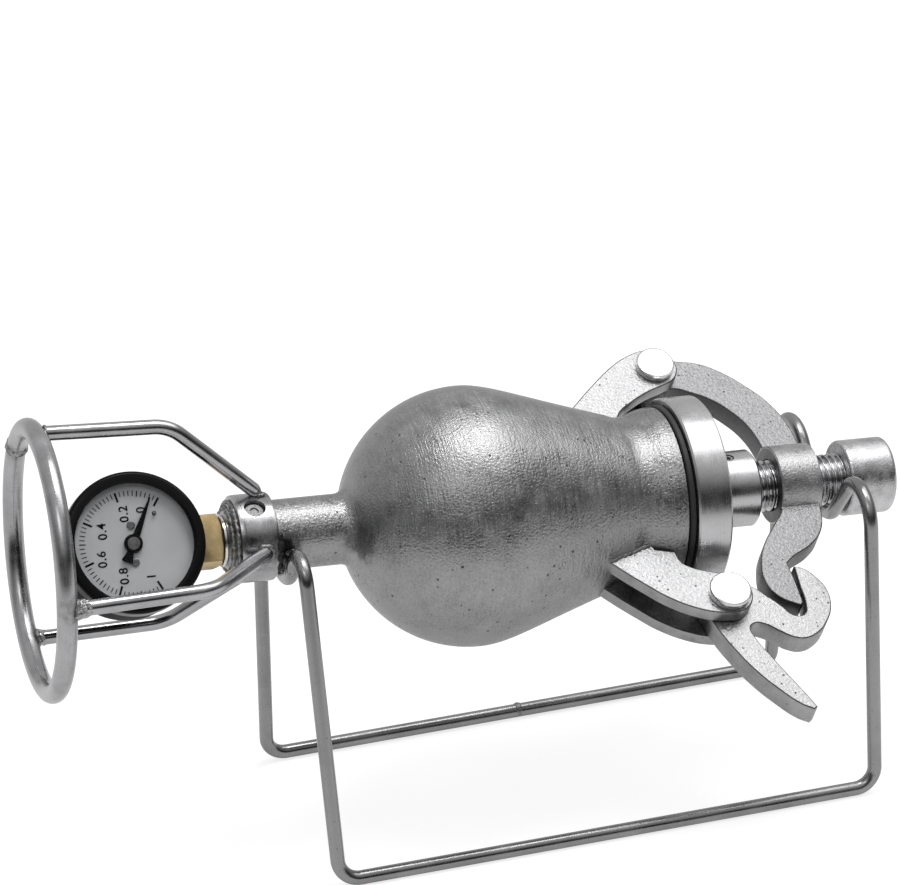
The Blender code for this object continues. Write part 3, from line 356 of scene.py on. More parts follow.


# A ragged darkening about a point: heat tint at welds, and painted shade where it stands in for shadow.
weld_tint_and_painted_shade, taken, given = effect("weld_tint_and_painted_shade", [
    ("Place", VECTOR, (0, 0, 0)), ("Colour", COLOUR, (0.6, 0.6, 0.6, 1)), ("Roughness", FLOAT, 0.3),
    ("Centre", VECTOR, (0, 0, 0)), ("Reach", FLOAT, 0.008), ("Strength", FLOAT, 0.5)],
    [("Colour", COLOUR), ("Roughness", FLOAT)])
away = put(weld_tint_and_painted_shade, "VectorMath", {0: taken["Place"], 1: taken["Centre"]}, operation="DISTANCE")
share = sums(weld_tint_and_painted_shade, "DIVIDE", away.outputs["Value"], taken["Reach"])
ragged = sums(weld_tint_and_painted_shade, "MULTIPLY_ADD", clouds(weld_tint_and_painted_shade, taken["Place"], 320.0, 4.0), 0.9, share)
inside_it = spread(weld_tint_and_painted_shade, ragged, (1.45, 0.75), kind="SMOOTHSTEP")
amount = sums(weld_tint_and_painted_shade, "MULTIPLY", inside_it, taken["Strength"])
kept = sums(weld_tint_and_painted_shade, "MULTIPLY_ADD", amount, -1.0, 1.0)
darkened_tone = put(weld_tint_and_painted_shade, "VectorMath", {0: taken["Colour"], "Scale": kept}, operation="SCALE")
weld_tint_and_painted_shade.links.new(darkened_tone.outputs["Vector"], given["Colour"])
weld_tint_and_painted_shade.links.new(sums(weld_tint_and_painted_shade, "MULTIPLY_ADD", amount, 0.22, taken["Roughness"]), given["Roughness"])


def darken_about(material, *spots):
    """Dulls and darkens a metal about points, each with its centre, reach and strength: heat tint at welds,
    and painted shade at some places.
    """
    tree = material.node_tree
    shader = tree.nodes["Principled BSDF"]
    where = put(tree, "TexCoord").outputs["Object"]
    for centre, reach, strength in spots:
        feeds = {"Place": where, "Centre": centre, "Reach": reach, "Strength": strength}
        for label, socket in (("Colour", "Base Color"), ("Roughness", "Roughness")):
            feeds[label] = shader.inputs[socket].links[0].from_socket
        dark = put(tree, "Group", feeds, node_tree=weld_tint_and_painted_shade)
        tree.links.new(dark.outputs["Colour"], shader.inputs["Base Color"])
        tree.links.new(dark.outputs["Roughness"], shader.inputs["Roughness"])


def arc(centre, radius, start, end, count):
    return [(centre[0] + radius * math.cos(start + (end - start) * i / count),
             centre[1] + radius * math.sin(start + (end - start) * i / count)) for i in range(count + 1)]


def bezier(a, b, c, d, count):
    points = []
    for t in (i / count for i in range(1, count + 1)):
        u = 1 - t
        points.append(tuple(u ** 3 * a[k] + 3 * u * u * t * b[k] + 3 * u * t * t * c[k] + t ** 3 * d[k]
                            for k in (0, 1)))
    return points


def turned(name, profile, steps, place=drum):
    """A turned piece about a frame's x. The profile's points are (along, radius), down the outer side,
    and it is closed unless it starts on the axis. Long runs get a ring of points near both ends."""
    long_run, near_end, sharp = 0.0030, 0.0003, 25
    closed = profile[0][1] > 0.0
    held = []
    for a, b in zip(profile, profile[1:] + profile[:1]):
        held.append(a)
        span = math.dist(a, b)
        if span > long_run and (closed or b != profile[0]):
            for share in (near_end / span, 1 - near_end / span):
                held.append((a[0] + (b[0] - a[0]) * share, a[1] + (b[1] - a[1]) * share))
    work = bmesh.new()
    rows = []
    for along, radius in held:
        count = steps if radius > 0.0 else 1
        rows.append([work.verts.new(place @ Vector((along, radius * math.cos(a), radius * math.sin(a))))
                     for a in (math.tau * k / steps for k in range(count))])
    last = len(held) if closed else len(held) - 1
    for i in range(last):
        n = (i + 1) % len(held)
        a, b = rows[i], rows[n]
        for k in range(steps):
            corners = [a[k % len(a)], a[(k + 1) % len(a)], b[(k + 1) % len(b)], b[k % len(b)]]
            corners = list(dict.fromkeys(corners))
            if len(corners) > 2:
                work.faces.new(corners).smooth = abs(held[i][0] - held[n][0]) > 1e-6
    bmesh.ops.recalc_face_normals(work, faces=work.faces)
    return finished(work, name, sharp)


vessel_metal = metal("vessel_metal", (0.37, 0.37, 0.373), 0.35, ("lathe", 900.0, 5.0), bump=1.25, depth=1.0,
                     tarnish=(0.8, 85.0), grain=(1.1, 1000.0), pits=(0.9, 300.0))
# Darker about two places on the neck beside the collar. The third spot, on the belly's front by the neck, is
# painted shade and a painted dark reflection.
darken_about(vessel_metal, (on_axis(math.radians(178), neck, -0.0900), 0.0090, 0.92),
      (on_axis(math.radians(290), neck, -0.0905), 0.0075, 0.7),
      (on_axis(math.radians(176), 0.0215, -0.0560), 0.0115, 0.55))
belly, cone_x, cone, waist_x, waist = 0.0597, 0.0260, 0.0531, 0.0750, 0.0383
lip_x, mouth_x, mouth, neck_end, neck_fillet = 0.0902, 0.0932, 0.0414, -0.1060, 0.0060
wall, neck_bore, stub_bore, mouth_bore = 0.0055, 0.0050, 0.0083, 0.0340
cone_slope = (cone - waist) / (waist_x - cone_x)
cone_end = (0.0680, cone - cone_slope * (0.0680 - cone_x))
turn = math.pi - math.asin((neck + neck_fillet) / (belly + neck_fillet))
vessel_side = [(mouth_x, mouth - 0.0006), (mouth_x - 0.0006, mouth), (lip_x, mouth)]
vessel_side += bezier((lip_x, mouth), (lip_x - 0.005, mouth), (0.081, waist), (waist_x, waist), 12)
vessel_side += bezier((waist_x, waist), (0.072, waist), (0.070, cone_end[1] - 0.002 * cone_slope),
                      cone_end, 5)
vessel_side += bezier(cone_end, (cone_x, cone), (0.0130, belly), (0.0, belly), 22)
vessel_side += arc((0, 0), belly, math.pi / 2, turn, 28)[1:]
vessel_side += arc((math.cos(turn) * (belly + neck_fillet), neck + neck_fillet), neck_fillet,
                   turn - math.pi, -math.pi / 2, 8)[1:]
vessel_side.append((neck_end, neck))
inside = [(neck_end, stub_bore), (-0.0957, stub_bore), (-0.0957, neck_bore)]
inside += arc((0, 0), belly - wall, math.pi - math.asin(neck_bore / (belly - wall)), math.pi / 2, 20)
inside += bezier((0, belly - wall), (0.0130, belly - wall), (cone_x, cone - wall),
                 (cone_end[0], cone_end[1] - wall), 12)
inside += [(waist_x, waist - wall), (lip_x, mouth_bore), (mouth_x, mouth_bore)]
new_piece(turned("vessel_casting", vessel_side + inside, 128), vessel_metal, "drum", "vessel")


# The collar: a short steel tube pressed on the neck's end and welded to the rods and the adapter's side, with
# one weld near-black. A set screw sits at the bottom of its hole.
def crease(mesh, angle=25):
    """Smooth round faces, with the flat ends and sides kept flat."""
    mesh.shade_smooth()
    mesh.set_sharp_from_angle(angle=math.radians(angle))
    ways = [drum.to_3x3() @ Vector(way) for way in ((1, 0, 0), (0, 1, 0))]
    for face in mesh.polygons:
        if any(abs(face.normal.dot(way)) > 0.9998 for way in ways):
            face.use_smooth = False


def cut(mesh, other, operation="DIFFERENCE"):
    """The mesh with another taken from it, joined to it or kept in common with it."""
    pair = [bpy.data.objects.new("cut_" + side, data) for side, data in (("one", mesh), ("other", other))]
    for thing in pair:
        bpy.context.scene.collection.objects.link(thing)
    worked = pair[0].modifiers.new("cut", "BOOLEAN")
    worked.operation, worked.solver, worked.object = operation, "EXACT", pair[1]
    bpy.context.view_layer.update()
    result = bpy.data.meshes.new_from_object(pair[0].evaluated_get(bpy.context.evaluated_depsgraph_get()))
    for thing in pair:
        bpy.data.objects.remove(thing)
    name = mesh.name
    bpy.data.meshes.remove(mesh)
    result.name = name
    crease(result)
    return result


noise.seed_set(7)  # without a seed, noise_vector differs from run to run


def weld_bead(name, path, radius, body, node, seed, material=weld_metal, closed=False):
    """A bead of weld: a soft string of overlapping drops along a path."""
    points = []
    path = [Vector(p) for p in path]
    for a, b in zip(path, path[1:]):
        count = max(1, round((b - a).length / 0.0005))
        points += [a.lerp(b, k / count) for k in range(count)]
    points.append(path[-1])
    radii, run = [], 0.0
    for i, point in enumerate(points):
        run += (point - points[i - 1]).length if i else 0.0
        drop = abs(math.sin(run / (radius * 1.5) * math.pi / 2 + seed))
        rise = noise.noise(point * 500.0 + Vector((seed, 0, 0)))
        end = 1.0 if closed else min(1.0, 0.35 + 0.65 * min(i, len(points) - 1 - i) / 3.0)
        radii.append(radius * end * (0.72 + 0.30 * drop + 0.40 * rise))
    mesh = bar(name, points, radii, 12)
    for vertex in mesh.vertices:
        vertex.co += Vector(noise.noise_vector(vertex.co * 700.0)) * radius * 0.30
    return new_piece(mesh, material, body, node, replaces=False)


def set_in(angle, radius, along):
    """A frame on a round piece, whose x looks out from the axis."""
    at = on_axis(angle, radius, along)
    way = on_axis(angle, radius + 0.01, along) - at
    return Matrix.Translation(at) @ way.to_track_quat("X", "Y").to_matrix().to_4x4()


spoke_at = {"top": math.radians(86.1), "front": math.radians(177.8), "rear": math.radians(299)}
collar_steel = metal("collar_steel", (0.46, 0.46, 0.47), 0.28, ("lathe", 2200.0, 9.0), bump=0.5, depth=0.5,
                     tarnish=(0.9, 110.0), grain=(0.35, 1500.0), pits=(0.4, 420.0))
darken_about(collar_steel, (on_axis(spoke_at["front"], 0.0200, -0.0974), 0.0075, 0.6),
      (on_axis(spoke_at["top"], 0.0200, -0.0945), 0.0060, 0.4),
      (on_axis(spoke_at["rear"], 0.0200, -0.0925), 0.0075, 0.6))
collar_side = [
    (-0.0930, 0.0190), (-0.0933, 0.0196), (-0.0942, 0.0200), (-0.1079, 0.0200), (-0.1081, 0.0197),
    (-0.1085, 0.0197), (-0.1087, 0.0200), (-0.1095, 0.0199), (-0.1102, 0.0197), (-0.1106, 0.0188),
    (-0.1106, 0.0176), (-0.1116, 0.0168), (-0.1146, 0.0115), (-0.1146, stub_bore), (-0.1063, stub_bore),
    (-0.1063, neck + gap), (-0.0930, neck + gap)]
hole_place = set_in(math.radians(114), neck + gap, -0.1020)
hole_side = [(0.0090, 0.0), (0.0090, 0.0054), (0.0034, 0.0049), (-0.0010, 0.0049), (-0.0010, 0.0)]
collar = cut(turned("collar_sleeve", collar_side, 112), turned("collar_hole", hole_side, 48, hole_place))
new_piece(collar, collar_steel, "drum", "collar")
set_screw_side = [(0.0006, 0.0), (0.0006, 0.0017), (0.0013, 0.0020), (0.0013, 0.0040), (0.0009, 0.0046),
                  (0.0003, 0.0046), (0.0003, 0.0)]
new_piece(turned("set_screw_end", set_screw_side, 40, hole_place), weld_metal, "drum", "collar_set_screw")
for count, (along, radius, thick) in enumerate(((-0.1113, 0.0172, 0.0011), (-0.1130, 0.0144, 0.0012))):
    ring = [drum @ Vector((along, wander * math.cos(a), wander * math.sin(a))) for a, wander in (
        (a, radius + 0.0008 * noise.noise(Vector((2 * math.cos(a), 2 * math.sin(a), count))))
        for a in (math.tau * k / 90 for k in range(91)))]
    weld_bead(f"collar_weld_{count + 1}", ring, thick, "drum", "collar", 1.0 + count, closed=True)
# One weld bead along the front of the collar's right edge, coloured near-black.
near_black_weld = metal("near_black_weld", (0.06, 0.058, 0.056), 0.55, ("every", 1300.0, 1.0), bump=1.0, depth=0.8,
                   tarnish=(1.5, 300.0), grain=(0.8, 1500.0), pits=(0.6, 700.0))
edge = [on_axis(math.radians(a), 0.0188, -0.0929) for a in range(152, 213, 4)]
weld_bead("collar_edge_weld", edge, 0.0017, "drum", "collar", 4.0, near_black_weld)


# The crank wheel: a ring of 9.2 mm rod and three bent 6.8 mm rods, polished, welded to the
# ring's side and to the collar. The ring is welded a little below the axis.
def outwards(angle):
    return on_axis(angle, 1, 0) - on_axis(angle, 0, 0)


def circle_of(centre, radius, one, other, steps=16):
    """A closed ring of points in the plane of two ways."""
    return [centre + radius * (math.cos(a) * one + math.sin(a) * other)
            for a in (math.tau * k / steps for k in range(steps + 1))]


ring_x, ring_radius, ring_rod, spoke_rod = -0.1981, 0.0590, 0.0046, 0.0034
low = outwards(-math.pi / 2) * 0.0008
butt = math.radians(38)
ring_steel = metal("ring_steel", (0.45, 0.45, 0.46), 0.25, ("drawn", 1900.0, 22.0), bump=0.3, depth=0.5,
                   tarnish=(1.0, 48.0), grain=(0.25, 1500.0), pits=(0.3, 480.0))
darken_about(ring_steel, (on_axis(butt, ring_radius, ring_x), 0.0090, 0.45),
      (on_axis(spoke_at["front"], ring_radius, ring_x + ring_rod), 0.0100, 0.55),
      (on_axis(spoke_at["rear"], ring_radius, ring_x + ring_rod), 0.0090, 0.5))
spoke_steel = metal("spoke_steel", (0.46, 0.46, 0.47), 0.20, ("drawn", 2800.0, 20.0), bump=0.2, depth=0.4,
                    tarnish=(0.7, 60.0), grain=(0.2, 1700.0), pits=(0.25, 520.0))
ring_weld_metal = metal("ring_weld_metal", (0.44, 0.44, 0.445), 0.34, ("every", 1300.0, 1.0), bump=1.0,
                        depth=0.9, tarnish=(1.5, 280.0), grain=(0.8, 1500.0), pits=(0.8, 600.0))
circle = [on_axis(butt + math.tau * k / 96, ring_radius, ring_x) + low for k in range(97)]
new_piece(bar("crank_ring", circle, ring_rod), ring_steel, "drum", "wheel_ring")
hoop = [on_axis(butt + 0.004 * k, ring_radius, ring_x) + low for k in range(-14, 15)]
swell = [0.0043 + 0.0007 * math.cos(k / 14 * math.pi / 2) + 0.0005 * noise.noise(Vector((k * 0.5, 3.1, 0)))
         for k in range(-14, 15)]
hoop_mesh = bar("crank_ring_weld", hoop, swell, 48)
for vertex in hoop_mesh.vertices:
    vertex.co += Vector(noise.noise_vector(vertex.co * 600.0)) * 0.0006
new_piece(hoop_mesh, ring_weld_metal, "drum", "wheel_ring", replaces=False)


def weld_lump(name, middle, size, angle):
    """A blob of weld where a spoke meets the ring, drawn out along the axis."""
    lump = bmesh.new()
    bmesh.ops.create_icosphere(lump, subdivisions=5, radius=1.0)
    for vertex in lump.verts:
        rise = 1.0 + 0.30 * noise.noise(vertex.co * 2.4 + Vector((angle, 0, 0))) + \
            0.16 * noise.noise(vertex.co * 6.0)
        vertex.co = middle + drum.to_3x3() @ (Vector((1.20, 0.84, 0.84)) * vertex.co * size * rise)
    mesh = finished(lump, name)
    mesh.shade_smooth()
    new_piece(mesh, ring_weld_metal, "drum", "wheel_ring", replaces=False)


# Each spoke's bend, the place of its end and the size of its lump. Then how near it comes to
# the axis, its foot's reach and lift, and its beads' radii: the top one has slim joints.
spokes = {"top": (-0.1383, 0.0563, -0.0939, 0.0), "front": (-0.1322, 0.0551, -0.0974, 0.0050),
          "rear": (-0.1341, 0.0579, -0.0919, 0.0042)}
slim, full = (0.0228, 0.0022, 0.0032, 0.0006, 0.0007), (0.0212, 0.0034, 0.0012, 0.0013, 0.0013)
taper = ((0.0012, 0.0031), (0.0024, 0.0025), (0.0036, 0.0017))
for name, (bend_x, bend_radius, end_x, lump) in spokes.items():
    nearest, reach, lift, ring_bead, collar_bead = slim if name == "top" else full
    angle = spoke_at[name]
    start = on_axis(angle, ring_radius, ring_x + ring_rod * 0.75) + low
    end = corner = on_axis(angle, bend_radius, bend_x)
    down = (on_axis(angle, 0.0150, end_x + 0.0024) - corner).normalized()
    while (drum.inverted() @ end).yz.length > nearest:
        end = end + down * 0.0002
    path = bent([(start, 0), (corner, 0.0200), (end, 0)])
    thick = [spoke_rod] * len(path)
    if name == "top":
        path += [end + down * along for along, _ in taper]
        thick += [radius for _, radius in taper]
    new_piece(bar("crank_spoke_" + name, path, thick), spoke_steel, "drum", "wheel_spoke_" + name)
    tangent = outwards(angle + math.pi / 2)
    joint = on_axis(angle, ring_radius, ring_x + ring_rod * 0.9) + low
    weld_bead("weld_ring_" + name, circle_of(joint, 0.0034, outwards(angle), tangent), ring_bead, "drum",
              "wheel_ring", angle, closed=True)
    if lump:
        middle = on_axis(angle, ring_radius, ring_x + ring_rod * 1.2) + low
        weld_lump("weld_lump_" + name, middle, lump, angle)
    foot = circle_of(end + down * lift, reach, tangent, 1.05 * (drum.to_3x3() @ Vector((1, 0, 0))))
    weld_bead("weld_collar_" + name, foot, collar_bead, "drum", "collar", angle + 1, closed=True)


# The forks, the arm and the trigger: flame-cut 7 and 11 mm steel plate, tumbled bright, with
# small pits and softened edges. The forks are welded to the vessel along both faces.
plate_steel = metal("plate_steel", (0.41, 0.41, 0.415), 0.37, ("every", 520.0, 1.0), bump=0.8, depth=0.5,
                    tarnish=(0.9, 120.0), grain=(1.2, 900.0), pits=(1.0, 440.0))
side_steel = metal("side_steel", (0.40, 0.40, 0.403), 0.38, ("every", 700.0, 1.0), bump=0.6, depth=0.5,
                   tarnish=(0.9, 130.0), grain=(0.6, 1500.0), pits=(0.6, 380.0))
# The cut sides are darkened in the trigger's hook pocket: a painted shadow.
darken_about(side_steel, (drum @ Vector((0.1365, 0.0, -0.0745)), 0.0100, 0.8))
boss_steel = metal("boss_steel", (0.46, 0.46, 0.465), 0.36, ("lathe", 900.0, 9.0), bump=1.0, depth=0.6,
                   tarnish=(0.8, 120.0), grain=(1.1, 1300.0), pits=(0.6, 420.0))
arm_steel = metal("arm_steel", (0.27, 0.27, 0.275), 0.38, ("every", 560.0, 1.0), bump=0.9, depth=0.5,
                  tarnish=(0.8, 110.0), grain=(1.4, 850.0), pits=(0.8, 480.0))
# The arm's cut sides: the plates' side finish made much darker, as painted shade.
arm_side_painted_shade_steel = metal("arm_side_painted_shade_steel", (0.14, 0.14, 0.143), 0.40, ("every", 700.0, 1.0), bump=0.6,
                       depth=0.5, tarnish=(0.9, 130.0), grain=(0.6, 1500.0), pits=(0.6, 380.0))
# The plates' rounded edges: dark steel as painted shade, a dark line along each edge.
painted_shade_edge_steel = metal("painted_shade_edge_steel", (0.11, 0.11, 0.112), 0.42, ("every", 900.0, 1.0), bump=0.5, depth=0.6,
                   tarnish=(1.2, 200.0), grain=(0.6, 1500.0), pits=(0.5, 420.0))
lug_plate, lug_offset, arm_plate, pin_radius, screw_bore = (
    0.0068, 0.0094, 0.0113, 0.0050, screw_crest + gap)
boss_left, boss_right, boss_radius = 0.1476, 0.1675, 0.0182
arm_pin_at, trigger_pin_at = (0.1070, 0.0656), (0.1049, -0.0662)


def finish_sides(piece, side_finish, boss_finish=None):
    """Gives a plate's cut sides their own finish, its rounded edges a dark one as painted shade, and its boss
    that of a turned one.
    """
    finishes = piece.data.materials
    finishes.append(side_finish)
    finishes.append(painted_shade_edge_steel)
    if boss_finish:
        finishes.append(boss_finish)
    flat = drum.to_3x3() @ Vector((0, 1, 0))
    back = drum.inverted()
    for face in piece.data.polygons:
        at = back @ face.center
        along_boss = boss_left - 0.0006 < at.x < boss_right + 0.0005
        if boss_finish and along_boss and boss_radius - 0.0008 < at.yz.length < boss_radius + 0.0002:
            face.material_index = 3
        elif abs(face.normal.dot(flat)) < 0.9998:
            face.material_index = 2 if abs(face.normal.dot(flat)) > 0.5 else 1


def outline(points, kind="smooth"):
    return [(x / 1000, z / 1000, kind) for x, z in points]


def eye(at, start, end, count):
    """The round end of a plate about its pin."""
    return [(x, z, "smooth") for x, z in arc(at, 0.0110, math.radians(start), math.radians(end), count)]


upper_lug = (
    outline([(60.0, 30.0), (57.5, 43.0)], "corner")
    + outline([(61.6, 46.8), (73.5, 57.8), (85.6, 67.8), (94.2, 73.0)])
    + eye(arm_pin_at, 105, -75, 7)
    + outline([(100.4, 51.5), (90.4, 46.2), (82.5, 40.3)])
    + outline([(78.0, 30.0)], "corner"))
lower_lug = (
    outline([(76.0, -30.0)], "corner")
    + outline([(77.2, -38.2), (86.3, -40.6)], "corner")
    + outline([(87.6, -46.3), (90.6, -49.3), (96.5, -52.2)])
    + eye(trigger_pin_at, 85, -105, 7)
    + outline([(97.2, -76.2), (87.9, -72.8), (76.4, -65.5), (67.8, -57.4), (57.0, -46.0)])
    + outline([(52.0, -40.0), (56.0, -30.0)], "corner"))
arm = (
    eye(arm_pin_at, -50, -285, 8)
    + outline([(121.5, 73.4), (132.3, 70.7), (142.0, 64.5), (151.5, 55.0), (159.2, 44.8), (164.6, 32.1),
               (166.6, 18.9), (166.9, 0.0), (166.3, -17.9), (162.7, -31.4), (155.4, -39.3), (144.6, -45.2)])
    + outline([(140.4, -48.4)], "corner")
    + outline([(141.1, -59.5)])
    + outline([(141.2, -71.0), (139.4, -72.3)], "corner")
    + outline([(130.4, -66.0), (126.8, -57.6), (128.3, -45.8), (132.7, -36.5), (140.6, -26.4),
               (147.2, -17.6), (148.4, 0.0), (148.3, 18.7), (144.6, 32.5), (138.9, 41.5),
               (133.1, 47.7), (125.4, 52.8)]))
trigger = (
    eye(trigger_pin_at, 200, 62, 6)
    + outline([(119.3, -59.0), (125.6, -65.6), (130.5, -71.5), (133.5, -76.1), (136.6, -77.7),
               (140.3, -76.6), (141.9, -72.4), (142.4, -61.0)])
    + outline([(142.9, -50.5)], "corner")
    + outline([(147.0, -52.2), (151.7, -57.9), (154.5, -64.8), (153.7, -74.4), (149.7, -81.7),
               (143.2, -87.9), (136.2, -90.3), (130.6, -88.8), (125.2, -84.9), (119.9, -80.6),
               (115.6, -79.2), (112.4, -81.2), (112.6, -85.5), (117.6, -98.2), (122.8, -110.0),
               (127.7, -120.7)])
    + outline([(130.3, -127.0), (128.5, -128.3)], "corner")
    + outline([(123.5, -125.1), (115.4, -115.9), (107.8, -104.9), (101.0, -91.3), (96.6, -79.5)]))


def plate(name, points, thickness, offset, edge=0.0006):
    """A flat plate in the plane of the clamp, with its edges tumbled round."""
    curve = bpy.data.curves.new(name, "CURVE")
    curve.dimensions, curve.fill_mode, curve.resolution_u = "2D", "BOTH", 9
    curve.extrude, curve.offset = thickness / 2 - edge, -edge
    curve.bevel_depth, curve.bevel_resolution = edge, 2
    spline = curve.splines.new("BEZIER")
    spline.bezier_points.add(len(points) - 1)
    for point, (x, z, kind) in zip(spline.bezier_points, points):
        point.co = (x, z, 0)
        point.handle_left_type = point.handle_right_type = "AUTO" if kind == "smooth" else "VECTOR"
    spline.use_cyclic_u = True
    piece = bpy.data.objects.new(name, curve)
    bpy.context.scene.collection.objects.link(piece)
    bpy.context.view_layer.update()
    mesh = bpy.data.meshes.new_from_object(piece.evaluated_get(bpy.context.evaluated_depsgraph_get()))
    bpy.data.objects.remove(piece)
    mesh.name = name
    mesh.transform(drum @ Matrix.Translation((0, offset, 0)) @ Matrix.Rotation(math.pi / 2, 4, "X"))
    work = bmesh.new()
    work.from_mesh(mesh)
    bmesh.ops.remove_doubles(work, verts=work.verts, dist=0.00001)
    bmesh.ops.recalc_face_normals(work, faces=work.faces)
    work.to_mesh(mesh)
    work.free()
    crease(mesh, 36)
    mesh.materials.clear()
    return mesh


def through(at, radius):
    """A cylinder across the plates, to cut a hole with."""
    place = drum @ Matrix.Translation((at[0], 0, at[1])) @ Matrix.Rotation(math.pi / 2, 4, "Z")
    return turned("through", [(0.03, 0.0), (0.03, radius), (-0.03, radius), (-0.03, 0.0)], 64, place)


def vessel_radius(along):
    """The vessel's outer radius at a place along the axis."""
    side_points = sorted(vessel_side)
    for (a, ra), (b, rb) in zip(side_points, side_points[1:]):
        if a <= along <= b:
            return ra + (rb - ra) * (along - a) / max(b - a, 1e-9)
    return 0.0


vessel_solid = turned("vessel_solid", [(mouth_x, 0.0)] + vessel_side + [(neck_end, 0.0)], 128)
for fork, points, at in (("upper_lug", upper_lug, arm_pin_at), ("lower_lug", lower_lug, trigger_pin_at)):
    for node, offset in ((fork + "_front", -lug_offset), (fork + "_rear", lug_offset)):
        lug = cut(plate(node + "_plate", points, lug_plate, offset), vessel_solid)
        finish_sides(new_piece(cut(lug, through(at, pin_radius)), plate_steel, "drum", node), side_steel)
boss_side = [(boss_right, 0.0), (boss_right, boss_radius - 0.0005), (boss_right - 0.0005, boss_radius),
             (boss_left + 0.0005, boss_radius), (boss_left, boss_radius - 0.0005), (boss_left, 0.0)]
bore_side = [(boss_right + 0.0050, 0.0), (boss_right + 0.0050, screw_bore),
             (boss_left - 0.0051, screw_bore), (boss_left - 0.0051, 0.0)]
arm_mesh = cut(plate("clamp_arm_plate", arm, arm_plate, 0.0), turned("arm_boss", boss_side, 112), "UNION")
arm_mesh = cut(cut(arm_mesh, turned("screw_bore", bore_side, 64)), through(arm_pin_at, pin_radius))
finish_sides(new_piece(arm_mesh, arm_steel, "drum", "clamp_arm"), arm_side_painted_shade_steel, boss_steel)
trigger_mesh = cut(plate("trigger_plate", trigger, arm_plate, 0.0), through(trigger_pin_at, pin_radius + gap))
finish_sides(new_piece(trigger_mesh, plate_steel, "trigger", "trigger"), side_steel)
for name, first, last, upper in (("upper_seam", 0.0605, 0.0800, 1), ("lower_seam", 0.0545, 0.0765, -1)):
    for side, offset in (("_front", -0.0131), ("_rear", 0.0131)):
        seam = []
        for along in (first + (last - first) * k / 12 for k in range(13)):
            height = math.sqrt(vessel_radius(along) ** 2 - offset ** 2)
            seam.append(drum @ Vector((along, offset, upper * height)))
        weld_bead(name + side, seam, 0.0009, "drum", "vessel", first * 1000)


# The pins: turned steel rivets with flat polished heads, spread over at the back. The pin of
# the trigger has the wider head.
pin_steel = metal("pin_steel", (0.80, 0.80, 0.81), 0.22, ("every", 700.0, 1.0), bump=0.25, depth=0.2,
                  tarnish=(0.4, 120.0), grain=(0.3, 1500.0), pits=(0.3, 500.0))
for name, at, wide in (("arm_pin", arm_pin_at, 0.0091), ("trigger_pin", trigger_pin_at, 0.0097)):
    place = drum @ Matrix.Translation((at[0], 0, at[1])) @ Matrix.Rotation(-math.pi / 2, 4, "Z")
    rivet = [
        (0.0165, 0.0), (0.0165, wide - 0.0011), (0.0162, wide - 0.0004), (0.0156, wide), (0.0131, wide),
        (0.0131, pin_radius), (-0.0131, pin_radius), (-0.0131, 0.0075), (-0.0144, 0.0075),
        (-0.0152, 0.0066), (-0.0156, 0.0045), (-0.0156, 0.0)]
    new_piece(turned(name + "_rivet", rivet, 72, place), pin_steel, "drum", name)


# The gasket and the lid: a black rubber ring, and a turned steel disc with its boss. A grub
# screw in the boss holds the clamp screw's spindle.
rubber = metal("gasket_rubber", (0.040, 0.040, 0.040), 0.52, ("every", 900.0, 1.0), bump=0.3, depth=0.3,
               tarnish=(0.6, 160.0), grain=(0.5, 1500.0), pits=(0.1, 500.0), metallic=0.0)
ring = [(0.0961, 0.0343), (0.0961, 0.0418), (0.0957, 0.0424), (0.0939, 0.0424), (0.0935, 0.0418),
        (0.0935, 0.0343)]
new_piece(turned("gasket_ring", ring, 112), rubber, "drum", "mouth_gasket")
lid_steel = metal("lid_steel", (0.60, 0.60, 0.61), 0.27, ("lathe", 3800.0, 2.0), bump=0.35, depth=0.5,
                  tarnish=(0.5, 60.0), grain=(0.15, 1700.0), pits=(0.2, 420.0))
lid_left, lid_right, lid_radius, boss_end, boss_wide = 0.0964, 0.1127, 0.0453, 0.1378, 0.0179
spindle_end, spindle = boss_end - 0.0180, 0.0080
lid_side = [
    (boss_end, boss_wide - 0.0010), (boss_end - 0.0010, boss_wide), (lid_right + 0.0008, boss_wide),
    (lid_right, boss_wide + 0.0008), (lid_right, lid_radius - 0.0010), (lid_right - 0.0010, lid_radius),
    (lid_left + 0.0008, lid_radius), (lid_left, lid_radius - 0.0008), (lid_left, 0.0330),
    (lid_left - 0.0050, 0.0330), (lid_left - 0.0050, 0.0), (spindle_end - 0.0010, 0.0),
    (spindle_end - 0.0010, spindle + gap), (boss_end, spindle + gap)]
grub_x = spindle_end + 0.0180 * 0.30
grub_place = set_in(math.radians(100), 0.0150, grub_x)
grub_side = [(0.0012, 0.0), (0.0012, 0.0011), (0.0023, 0.0013), (0.0023, 0.0024), (0.0019, 0.0025),
             (-0.0084, 0.0025), (-0.0084, 0.0)]
grub_hole = turned("grub_hole", [(0.0050, 0.0), (0.0050, 0.0028), (-0.0060, 0.0028), (-0.0060, 0.0)], 32,
                   grub_place)
new_piece(cut(turned("lid_disc", lid_side, 128), grub_hole), lid_steel, "lid", "lid")
new_piece(turned("grub_screw", grub_side, 32, grub_place), weld_metal, "lid", "lid_grub_screw")


